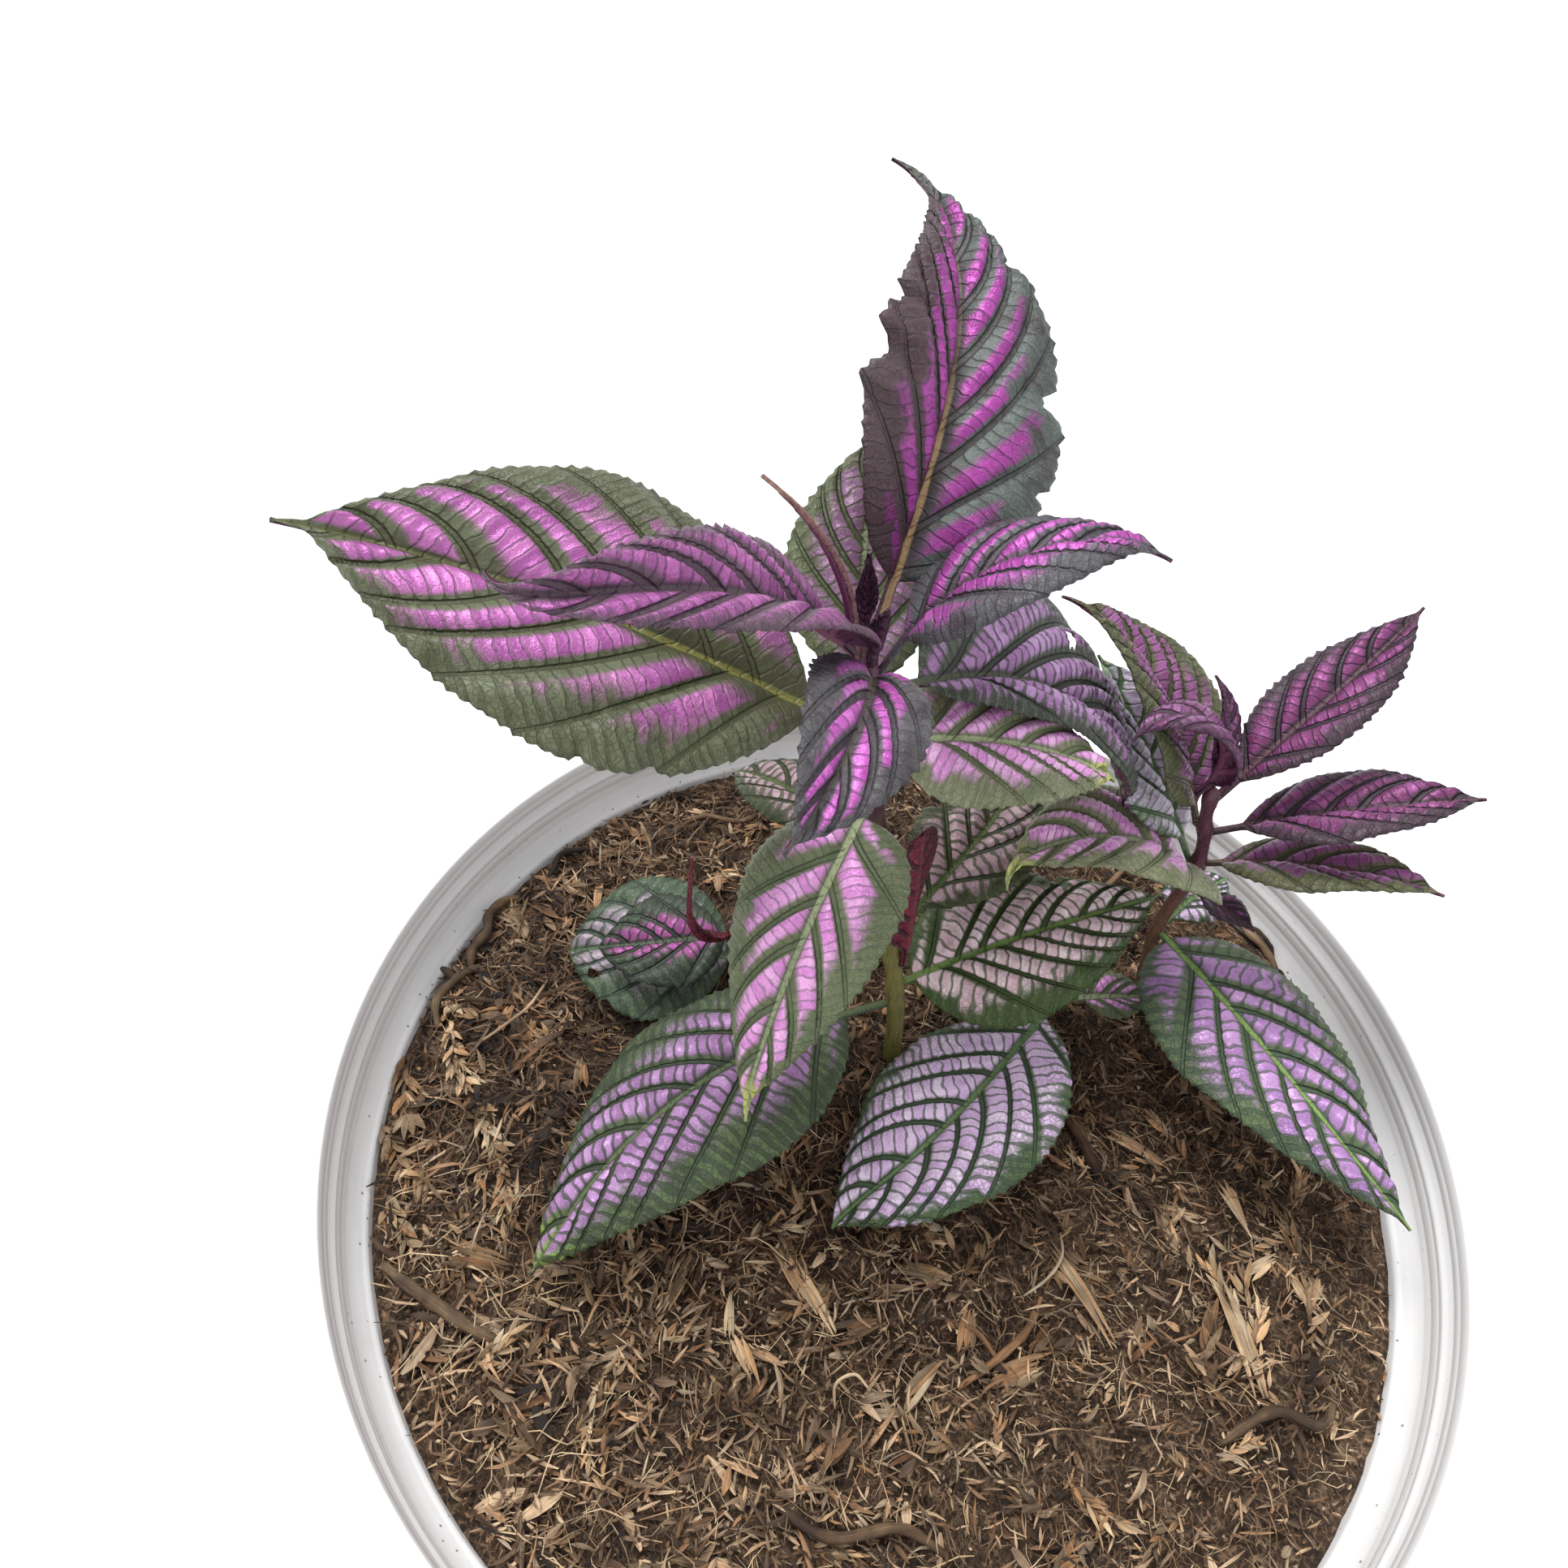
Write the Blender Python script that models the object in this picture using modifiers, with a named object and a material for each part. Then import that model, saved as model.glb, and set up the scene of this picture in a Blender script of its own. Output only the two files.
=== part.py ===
"""Potted persian shield: a white plastic planter, its soil, four shoots and their leaves.

Metres, +Z up. The origin is the centre of the pot's flat base, which stands on Z = 0.
Each leaf starts at a height on its shoot and follows a heading, a rise and a droop.
Run with: blender --background --python part.py
"""
import math
from typing import NamedTuple

import bmesh
import bpy
from mathutils import Vector

MM = 0.001

# Pot: a tapered planter with a hanging rim, and an upright collar and a ledge inside it
BASE_RADIUS = 96
RIDGE_RADIUS = 130
RIDGE_HEIGHT = 195
RIM_RADIUS = 140
RIM_LIP_HEIGHT = 180
COLLAR_DEPTH = 17
COLLAR_TAPER = 1.6
LEDGE_WIDTH = 3.4
LEDGE_DROP = 6
WALL = 2.6
FLOOR = 4
BASE_CHAMFER = 1
POT_STEPS = 48

# Soil: fills the pot to below the collar, a little higher in the middle
SOIL_EDGE_HEIGHT = 170.5
SOIL_MIDDLE_HEIGHT = 175
SOIL_BUMP = 1.4
SOIL_WAVE = 12
SOIL_RINGS = 9
SOIL_STEPS = 40
HOLE_DEPTH = 60

# The clearance between pieces that touch
GAP = 0.35

# Blades: cells along and across, thickness, and how the edge is cut and waved
CELLS_LONG = 15
SMALL_CELLS_LONG = 10
CELLS_ACROSS = 4
SMALL_LEAF = 46
MIDRIB_STEPS = 60
BLADE_THICKNESS = 0.75
MIDRIB_THICKNESS = 1.5
PETIOLE_HALF_WIDTH = 1.2
TIP_HALF_WIDTH = 0.4
TIP_POINT = 1.15
DROOP_POWER = 1.2
CUP = 0.3
TOOTH = 0.045
WAVE = 0.04

# sRGB colour and roughness of each finish
FINISHES = {
    "pot": ("E4E4E2", 0.45),
    "soil": ("5A4233", 0.95),
    "stem": ("6A6A3E", 0.55),
    "young stem": ("5B2A44", 0.50),
    "vivid": ("8E4C86", 0.38),
    "dark": ("4A3350", 0.40),
    "lilac": ("A487A6", 0.38),
    "silver": ("93838C", 0.40),
    "maroon": ("5A1F3C", 0.45),
}


class Shoot(NamedTuple):
    """A stem: its radius at the foot and at the top, its axis in mm, and its finish."""

    foot_radius: float
    top_radius: float
    axis: list
    finish: str


class Leaf(NamedTuple):
    """A leaf: lengths in mm, angles in degrees, belly as a share of the blade's length."""

    shoot: str
    node: float
    heading: float
    rise: float
    droop: float
    swing: float
    length: float
    width: float
    roll: float
    fold: float
    petiole: float
    belly: float
    finish: str


MAIN_AXIS = [(4, 14, 145), (3, 14, 180), (1, 15, 205), (-6, 18, 245), (-12, 21, 280), (-16, 23, 308)]
RIGHT_AXIS = [(71, 32, 145), (71, 36, 180), (71, 42, 200), (74, 44, 225), (70, 44, 244), (68, 43, 254)]
LEFT_AXIS = [(-34, 36, 145), (-35, 36, 176), (-38, 37, 187), (-41, 38, 199)]
LOW_AXIS = [(52, 32, 145), (50, 31, 176), (46, 27, 193)]

SHOOTS = {
    "main": Shoot(2.5, 1.7, MAIN_AXIS, "stem"),
    "right": Shoot(2.2, 1.5, RIGHT_AXIS, "young stem"),
    "left": Shoot(1.8, 1.3, LEFT_AXIS, "stem"),
    "low": Shoot(1.9, 1.5, LOW_AXIS, "young stem"),
}

LEAVES = {
    "leaf_main_upright": Leaf("main", 305, 68, 48, 40, 60, 104, 44, 38, 20, 12, 0.42, "vivid"),
    "leaf_main_upper_right": Leaf("main", 301, 11, 62, 84, -10, 58, 28, -16, 0, 8, 0.40, "vivid"),
    "leaf_main_young_left": Leaf("main", 306, 210, 38, 48, -54, 68, 32, 8, 19, 7, 0.38, "dark"),
    "leaf_main_big_left": Leaf("main", 286, 177, 29, 17, 0, 106, 59, -14, 2, 10, 0.43, "vivid"),
    "leaf_main_front": Leaf("main", 299, 269, 40, 86, -48, 50, 22, -22, 16, 4, 0.42, "dark"),
    "leaf_main_right_front": Leaf("main", 284, 8, 4, 41, -2, 54, 30, 7, 0, 3, 0.38, "vivid"),
    "leaf_main_back": Leaf("main", 282, 99, 41, 22, 0, 68, 30, -6, 10, 10, 0.42, "lilac"),
    "leaf_main_right_back": Leaf("main", 295, 34, -5, 60, -46, 91, 47, 8, 9, 10, 0.41, "vivid"),
    "leaf_main_hanging": Leaf("main", 271, 246, -20, 56, 0, 75, 35, -2, 4, 4, 0.36, "vivid"),
    "leaf_main_low_left": Leaf("main", 203, 208, 17, 62, 32, 106, 47, 12, -2, 12, 0.38, "lilac"),
    "leaf_main_low_right": Leaf("main", 209, 23, 16, 32, 6, 74, 40, 0, -2, 2, 0.37, "silver"),
    "leaf_main_shaded": Leaf("main", 226, 49, 14, 28, 28, 67, 30, 0, 8, 8, 0.42, "silver"),
    "leaf_main_maroon": Leaf("main", 221, 328, 92, 0, 0, 43, 16, 0, 8, 3, 0.42, "maroon"),
    "leaf_main_back_left": Leaf("main", 250, 131, 4, 44, 5, 52, 22, 0, 10, 6, 0.42, "silver"),
    "leaf_main_sliver": Leaf("main", 302, 158, 76, 52, 0, 39, 8, 0, 20, 3, 0.42, "maroon"),
    "leaf_main_bud_front": Leaf("main", 306, 300, 84, 10, 0, 20, 8, 0, 30, 3, 0.42, "maroon"),
    "leaf_main_bud_back": Leaf("main", 307.5, 95, 84, 4, 0, 24, 8, 0, 30, 3, 0.42, "maroon"),
    "leaf_right_tall": Leaf("right", 240, 136, 61, 38, 33, 67, 33, 7, 10, 4, 0.40, "vivid"),
    "leaf_right_curled": Leaf("right", 252, 205, 90, 108, 12, 52, 19, 0, 8, 3, 0.42, "maroon"),
    "leaf_right_sliver": Leaf("right", 252, 85, 82, 34, 80, 28, 10, 0, 20, 3, 0.42, "maroon"),
    "leaf_right_up": Leaf("right", 249, 31, 40, 14, 13, 62, 22, -10, 10, 5, 0.44, "dark"),
    "leaf_right_outer": Leaf("right", 238, 350, 33, 20, 10, 56, 28, -15, 9, 6, 0.44, "dark"),
    "leaf_right_outer_low": Leaf("right", 227, 333, 36, 30, 0, 50, 26, -14, 8, 3, 0.42, "vivid"),
    "leaf_right_arched": Leaf("right", 223, 180, 45, 74, 44, 57, 28, -3, 8, 2, 0.36, "vivid"),
    "leaf_right_back": Leaf("right", 225, 134, 50, 14, -4, 56, 33, 8, 7, 6, 0.43, "silver"),
    "leaf_right_big_low": Leaf("right", 200, 296, 9, 26, 12, 84, 44, -3, -3, 2, 0.34, "lilac"),
    "leaf_right_small": Leaf("right", 200, 40, 13, 26, -8, 27, 17, 0, 8, 3, 0.42, "lilac"),
    "leaf_right_small_tip": Leaf("right", 218, 309, 14, 12, 0, 18, 9, 0, 10, 3, 0.42, "dark"),
    "leaf_low_front": Leaf("low", 188, 231, 8, 26, -18, 84, 43, 19, 4, 8, 0.44, "lilac"),
    "leaf_low_small": Leaf("low", 184, 0, 16, 20, 0, 22, 14, 0, 8, 3, 0.42, "vivid"),
    "leaf_left_large": Leaf("left", 183, 179, 12, 30, 2, 47, 42, -8, 6, 2, 0.41, "silver"),
    "leaf_left_small": Leaf("left", 193, 194, 8, 18, -14, 34, 27, -6, 5, 1, 0.41, "silver"),
    "leaf_left_sliver": Leaf("left", 195, 160, 45, -60, -20, 36, 9, 0, 20, 2, 0.42, "maroon"),
}


def linear(hex_colour):
    """An sRGB hex colour as linear RGBA."""
    parts = [int(hex_colour[i:i + 2], 16) / 255 for i in (0, 2, 4)]
    return [c / 12.92 if c <= 0.04045 else ((c + 0.055) / 1.055) ** 2.4 for c in parts] + [1]


def finish_material(name, label):
    """A Principled material of the named finish."""
    colour, roughness = FINISHES[name]
    material = bpy.data.materials.new(label + "_finish")
    material.use_nodes = True
    shader = material.node_tree.nodes["Principled BSDF"]
    shader.inputs["Base Color"].default_value = linear(colour)
    shader.inputs["Roughness"].default_value = roughness
    shader.inputs["Metallic"].default_value = 0
    return material


def add_object(name, data, collection, finish=None):
    """Put mesh or curve data into the collection as an object of that name."""
    piece = bpy.data.objects.new(name, data)
    collection.objects.link(piece)
    if finish:
        data.materials.append(finish_material(finish, name))
    return piece


def turned(name, profile, steps, collection, finish):
    """Turn a profile of (radius, height) pairs in mm about Z with a Screw modifier."""
    mesh = bpy.data.meshes.new(name)
    points = [(radius * MM, 0, height * MM) for radius, height in profile]
    edges = [(i, i + 1) for i in range(len(points) - 1)]
    mesh.from_pydata(points, edges, [])
    piece = add_object(name, mesh, collection, finish)
    screw = piece.modifiers.new("turn", "SCREW")
    screw.axis = "Z"
    screw.steps = steps
    screw.render_steps = steps
    screw.use_merge_vertices = True
    screw.merge_threshold = 0.00005
    screw.use_smooth_shade = True
    return piece


def inner_radius(height):
    """Radius of the pot's inner wall at a height, from the floor up to the ledge."""
    floor_radius = BASE_RADIUS - WALL
    top_radius = RIDGE_RADIUS - COLLAR_TAPER - LEDGE_WIDTH
    top = RIDGE_HEIGHT - COLLAR_DEPTH - LEDGE_DROP
    return floor_radius + (top_radius - floor_radius) * (height - FLOOR) / (top - FLOOR)


def make_pot(collection):
    """The planter: inner floor, wall, ledge, collar, ridge, rim, outer wall and base."""
    collar_foot = RIDGE_RADIUS - COLLAR_TAPER
    ledge_foot = RIDGE_HEIGHT - COLLAR_DEPTH - LEDGE_DROP
    inside = [
        (0, FLOOR),
        (inner_radius(FLOOR), FLOOR),
        (inner_radius(ledge_foot / 2), ledge_foot / 2),
        (collar_foot - LEDGE_WIDTH, ledge_foot),
        (collar_foot, ledge_foot + LEDGE_DROP),
        (RIDGE_RADIUS - 0.5, RIDGE_HEIGHT - 0.6),
    ]
    rim = [
        (RIDGE_RADIUS + 0.6, RIDGE_HEIGHT),
        (RIDGE_RADIUS + 5, RIDGE_HEIGHT - 4),
        (RIM_RADIUS - 1.2, RIDGE_HEIGHT - 9.5),
        (RIM_RADIUS, RIM_LIP_HEIGHT + 2),
        (RIM_RADIUS - 0.6, RIM_LIP_HEIGHT),
        (RIM_RADIUS - 2.4, RIM_LIP_HEIGHT),
        (RIM_RADIUS - 4.5, RIM_LIP_HEIGHT + 5),
        (RIDGE_RADIUS + 2.2, RIM_LIP_HEIGHT + 3),
    ]
    outside = [
        (inner_radius(ledge_foot) + WALL, ledge_foot),
        (BASE_RADIUS + BASE_CHAMFER * 0.2, BASE_CHAMFER),
        (BASE_RADIUS - BASE_CHAMFER, 0),
        (0, 0),
    ]
    turned("pot", inside + rim + outside, POT_STEPS, collection, "pot")


def soil_height(radius, angle):
    """Height of the soil: a low dome with soft bumps that fade at the pot's wall."""
    share = radius / inner_radius(SOIL_EDGE_HEIGHT)
    dome = SOIL_MIDDLE_HEIGHT - (SOIL_MIDDLE_HEIGHT - SOIL_EDGE_HEIGHT) * share ** 4
    x, y = radius * math.cos(angle) / SOIL_WAVE, radius * math.sin(angle) / SOIL_WAVE
    bump = math.sin(x + 1) * math.cos(y) + 0.6 * math.sin(2.4 * x + 1.7 * y)
    return dome + SOIL_BUMP * bump * (1 - share ** 6)


def stem_radius(shoot, height):
    """Radius of a shoot at a height: even taper from the soil to the top."""
    foot, top = shoot.axis[0][2], shoot.axis[-1][2]
    return shoot.foot_radius + (shoot.top_radius - shoot.foot_radius) * (height - foot) / (top - foot)


def stem_point(shoot, height):
    """The shoot's axis at a height."""
    for low, high in zip(shoot.axis, shoot.axis[1:]):
        if low[2] <= height <= high[2]:
            return Vector(low).lerp(Vector(high), (height - low[2]) / (high[2] - low[2]))
    raise ValueError(f"no node at {height} mm")


def make_soil(collection, cutters):
    """The soil: a turned body with a bumpy top and a plain hole for each shoot."""
    edge = inner_radius(SOIL_EDGE_HEIGHT) - GAP
    top = [(edge * i / SOIL_RINGS, SOIL_MIDDLE_HEIGHT) for i in range(SOIL_RINGS + 1)]
    side = [(inner_radius(FLOOR + GAP) - GAP, FLOOR + GAP), (0, FLOOR + GAP)]
    blank = turned("soil_blank", top + side, SOIL_STEPS, cutters, None)
    graph = bpy.context.evaluated_depsgraph_get()
    mesh = bpy.data.meshes.new_from_object(blank.evaluated_get(graph))
    bpy.data.objects.remove(blank)
    for vertex in mesh.vertices:
        if vertex.co.z > SOIL_EDGE_HEIGHT * MM:
            radius, angle = vertex.co.xy.length / MM, math.atan2(vertex.co.y, vertex.co.x)
            vertex.co.z = soil_height(radius, angle) * MM
    mesh.name = "soil"
    soil = add_object("soil", mesh, collection, "soil")
    for name, shoot in SHOOTS.items():
        foot, above = Vector(shoot.axis[0]) * MM, Vector(shoot.axis[1]) * MM
        lean = (above - foot).normalized()
        middle = foot + lean * (HOLE_DEPTH / 2 - GAP) * MM
        bpy.ops.mesh.primitive_cylinder_add(
            vertices=16, radius=(shoot.foot_radius + GAP) * MM, depth=HOLE_DEPTH * MM,
            location=middle, rotation=lean.to_track_quat("Z", "Y").to_euler())
        cutter = bpy.context.active_object
        cutter.name = "hole_" + name
        cutter.hide_render = True
        cutter.display_type = "WIRE"
        for home in cutter.users_collection:
            home.objects.unlink(cutter)
        cutters.objects.link(cutter)
        cut = soil.modifiers.new("hole_" + name, "BOOLEAN")
        cut.operation = "DIFFERENCE"
        cut.object = cutter


def make_stem(name, shoot, collection):
    """A shoot: a tapered tube along its axis, with closed ends."""
    curve = bpy.data.curves.new(name, "CURVE")
    curve.dimensions = "3D"
    curve.bevel_depth = shoot.foot_radius * MM
    curve.bevel_resolution = 2
    curve.use_fill_caps = True
    spline = curve.splines.new("POLY")
    spline.points.add(len(shoot.axis) - 1)
    for point, place in zip(spline.points, shoot.axis):
        point.co = (*[c * MM for c in place], 1)
        point.radius = stem_radius(shoot, place[2]) / shoot.foot_radius
    spline.use_smooth = True
    add_object(name, curve, collection, shoot.finish)


def midrib(leaf):
    """Points and directions along a leaf's midrib, from the stem's face to the tip."""
    shoot = SHOOTS[leaf.shoot]
    heading = math.radians(leaf.heading)
    out = Vector((math.cos(heading), math.sin(heading), 0))
    lean = MIDRIB_THICKNESS / 2 * max(0, math.sin(math.radians(leaf.rise)))
    place = stem_point(shoot, leaf.node) + out * (stem_radius(shoot, leaf.node) + GAP + lean)
    stations = []
    last = None
    for i in range(MIDRIB_STEPS + 1):
        t = i / MIDRIB_STEPS
        turn = math.radians(leaf.heading + leaf.swing * t * t)
        pitch = math.radians(leaf.rise - leaf.droop * t ** DROOP_POWER)
        along = Vector((math.cos(turn) * math.cos(pitch), math.sin(turn) * math.cos(pitch), math.sin(pitch)))
        if last:
            place = place + (last + along) * (leaf.length / MIDRIB_STEPS / 2)
        last = along
        right = Vector((math.sin(turn), -math.cos(turn), 0))
        up = right.cross(along)
        roll = math.radians(leaf.roll)
        tilted = right * math.cos(roll) - up * math.sin(roll)
        stations.append((place, tilted, up * math.cos(roll) + right * math.sin(roll)))
    return stations


def half_width(leaf, t):
    """Half the width at a share t of the length: the petiole, then an oval with a drawn-out tip."""
    start = leaf.petiole / leaf.length
    s = max(0, (t - start) / (1 - start))
    base_power = leaf.belly * TIP_POINT / (1 - leaf.belly)
    widest = leaf.belly ** base_power * (1 - leaf.belly) ** TIP_POINT
    blade = leaf.width / 2 * s ** base_power * (1 - s) ** TIP_POINT / widest
    return max(blade, PETIOLE_HALF_WIDTH if s < leaf.belly else TIP_HALF_WIDTH)


def make_leaf(name, leaf, collection):
    """A leaf: a grid bent onto its midrib, folded along it, cut and waved at its edge."""
    cells = SMALL_CELLS_LONG if leaf.length < SMALL_LEAF else CELLS_LONG
    stations = midrib(leaf)
    fold = math.radians(leaf.fold)
    form = bmesh.new()
    bmesh.ops.create_grid(form, x_segments=cells, y_segments=CELLS_ACROSS, size=1)
    spine = []
    for vertex in form.verts:
        station = round((vertex.co.x + 1) / 2 * cells)
        across = -vertex.co.y
        t = station / cells
        place, right, up = stations[round(t * MIDRIB_STEPS)]
        half = half_width(leaf, t)
        reach = abs(across)
        ripple = 0
        if reach > 0.99 and half > 3 * PETIOLE_HALF_WIDTH:
            side = 1 if station % 2 else -1
            half *= 1 + TOOTH * side
            ripple = WAVE * side
        rise = math.sin(fold) * reach + CUP * (reach - across * across) + ripple
        vertex.co = (place + right * half * across * math.cos(fold) + up * half * rise) * MM
        if reach < 0.01:
            spine.append(vertex.index)
    bmesh.ops.triangulate(form, faces=form.faces[:], quad_method="BEAUTY")
    mesh = bpy.data.meshes.new(name)
    form.to_mesh(mesh)
    form.free()
    mesh.shade_smooth()
    piece = add_object(name, mesh, collection, leaf.finish)
    group = piece.vertex_groups.new(name="midrib")
    group.add(spine, 1, "REPLACE")
    wall = piece.modifiers.new("thickness", "SOLIDIFY")
    wall.thickness = MIDRIB_THICKNESS * MM
    wall.offset = 0
    wall.vertex_group = group.name
    wall.thickness_vertex_group = BLADE_THICKNESS / MIDRIB_THICKNESS
    return piece


def main():
    for piece in list(bpy.data.objects):
        bpy.data.objects.remove(piece)
    plant = bpy.data.collections.new("potted_persian_shield")
    cutters = bpy.data.collections.new("cutters")
    for collection in (plant, cutters):
        bpy.context.scene.collection.children.link(collection)
    make_pot(plant)
    make_soil(plant, cutters)
    for name, shoot in SHOOTS.items():
        make_stem("stem_" + name, shoot, plant)
    for name, leaf in LEAVES.items():
        make_leaf(name, leaf, plant)


main()
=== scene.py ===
"""Potted persian shield, dressed: the planter, its potting mix, four shoots and their leaves.

Laid out as an add-on: an operator for each group of pieces, one for the stage, and a panel
that lists them. Tables are in millimetres and degrees, meshes in metres, +Z up.
"""
import math
from functools import partial
from typing import NamedTuple

import bmesh
import bpy
import numpy as np
from bpy.props import FloatProperty, FloatVectorProperty, IntProperty, PointerProperty
from bpy.types import Operator, Panel, PropertyGroup
from mathutils import Matrix, Vector, noise


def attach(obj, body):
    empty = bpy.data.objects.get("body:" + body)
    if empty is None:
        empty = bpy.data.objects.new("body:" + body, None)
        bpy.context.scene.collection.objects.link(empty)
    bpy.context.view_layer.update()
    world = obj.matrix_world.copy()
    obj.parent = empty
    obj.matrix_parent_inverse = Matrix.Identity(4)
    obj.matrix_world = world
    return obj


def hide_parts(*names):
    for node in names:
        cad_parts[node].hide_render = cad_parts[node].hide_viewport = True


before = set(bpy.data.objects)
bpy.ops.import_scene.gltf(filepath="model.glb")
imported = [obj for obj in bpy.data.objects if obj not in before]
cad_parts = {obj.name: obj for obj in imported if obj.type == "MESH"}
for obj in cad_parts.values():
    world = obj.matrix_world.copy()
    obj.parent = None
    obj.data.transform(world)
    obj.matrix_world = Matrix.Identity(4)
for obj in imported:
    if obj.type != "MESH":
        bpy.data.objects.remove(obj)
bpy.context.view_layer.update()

bl_info = {
    "name": "Potted Persian Shield",
    "version": (1, 0, 0),
    "blender": (4, 5, 0),
    "location": "View3D > Sidebar > Plant",
    "description": "Builds a persian shield in its planter: mix, stems and quilted leaves",
    "category": "Add Mesh",
}

MM = 0.001
SOFT = {"interpolation_type": "SMOOTHSTEP"}
BODY = "root"

# Planter, as in the solids: ridge, hanging rim, upright collar and ledge
BASE_RADIUS = 96
RIDGE_RADIUS = 130
RIDGE_HEIGHT = 195
RIM_RADIUS = 140
RIM_LIP_HEIGHT = 180
COLLAR_DEPTH = 17
COLLAR_TAPER = 1.6
LEDGE_WIDTH = 3.4
LEDGE_DROP = 6
WALL = 2.6
FLOOR = 4
LEDGE_FOOT = RIDGE_HEIGHT - COLLAR_DEPTH - LEDGE_DROP
COLLAR_FOOT = RIDGE_RADIUS - COLLAR_TAPER
# Share of dark grey painted on the outer wall below the rim: painted shade, which keeps it from washing out
# to white
PAINTED_WALL_SHADE = 0.36

# Potting mix: the dome of its surface
SOIL_EDGE_HEIGHT = 170.5
SOIL_MIDDLE_HEIGHT = 175
SOIL_BUMP = 1.4
SOIL_WAVE = 12
CLUMP_HEIGHT = 1.9
# What keeps loose pieces clear of the planter's wall
WALL_GAP = 0.3
# Turns a shred's tone into a seed for its hue
TONE_TO_SEED = 977

# Leaf form, as in the solids but with a finer tip
MIDRIB_STEPS = 60
PETIOLE_HALF_WIDTH = 1.2
TIP_HALF_WIDTH = 0.14
DROOP_POWER = 1.2
CUP = 0.3
# Steps in which a blade thickens from its margin to its midrib
THICKNESS_LEVELS = 6

# Side veins leave the midrib at 25 to 50 degrees and bend until they run along the margin:
# mm forward for each mm out, at the midrib, and what is added at the margin by base and tip
VEIN_LEAN = 0.68
VEIN_ARCH = (0.3, 1.7)
VEIN_BEND = 1.3
VEIN_CROWD = 0.3
VEIN_OFFSET = 0.45
RUNG_SHIFT = 0.45
RUNG_TURN = 2.4


class Shoot(NamedTuple):
    """A stem: its radius at the foot and at the top, and its axis in mm."""

    foot_radius: float
    top_radius: float
    axis: list


class Leaf(NamedTuple):
    """A leaf: lengths in mm, angles in degrees, belly as a share of the blade's length.

    Toward the tip swing is added to the heading, droop is taken from the rise and twist is added
    to the roll; tail turns the last fifth. Drip is the share of the blade that is a thin tail, and
    a larger point makes a more slender tip.
    """

    shoot: str
    node: float
    heading: float
    rise: float
    droop: float
    swing: float
    length: float
    width: float
    roll: float
    fold: float
    petiole: float
    belly: float
    look: str
    twist: float = 0
    tail: float = 0
    drip: float = 0.02
    point: float = 1.15


class Look(NamedTuple):
    """A leaf's upper side: sRGB colours, and how the coloured patches spread and shine.

    Reach is where the patches start to fade and where they end, as shares of the way to the
    margin. Halo is the bare strip beside a side vein and bare that beside the midrib's base,
    rung the half width of a rung, all in mm. Net is how dark the rungs are outside the patches,
    and rib_fade how far the midrib takes on its surroundings' colour toward the tip. The last
    number is how far the margin of the left half is painted maroon-brown: painted shade, where
    that half reflects less of the sky.
    """

    patch: str
    glow: str
    margin: str
    vein: str
    midrib: str
    rung_tone: str
    reach: tuple
    halo: float
    bare: float
    rung: float
    metal: float
    net: float = 1.0
    rib_fade: float = 0.0
    tip: str = ""
    flush: float = 0.0


SHOOTS = {
    "main": Shoot(2.5, 1.7, [(4, 14, 145), (3, 14, 180), (1, 15, 205), (-6, 18, 245), (-12, 21, 280),
                             (-16, 23, 308)]),
    "right": Shoot(1.9, 1.4, [(71, 32, 145), (71, 36, 180), (71, 42, 200), (74, 44, 225), (70, 44, 244),
                              (68, 43, 254)]),
    "left": Shoot(1.8, 1.3, [(-34, 36, 145), (-35, 36, 176), (-38, 37, 187), (-41, 38, 199)]),
    "low": Shoot(1.9, 1.5, [(52, 32, 145), (50, 31, 176), (46, 27, 193)]),
}

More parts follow.
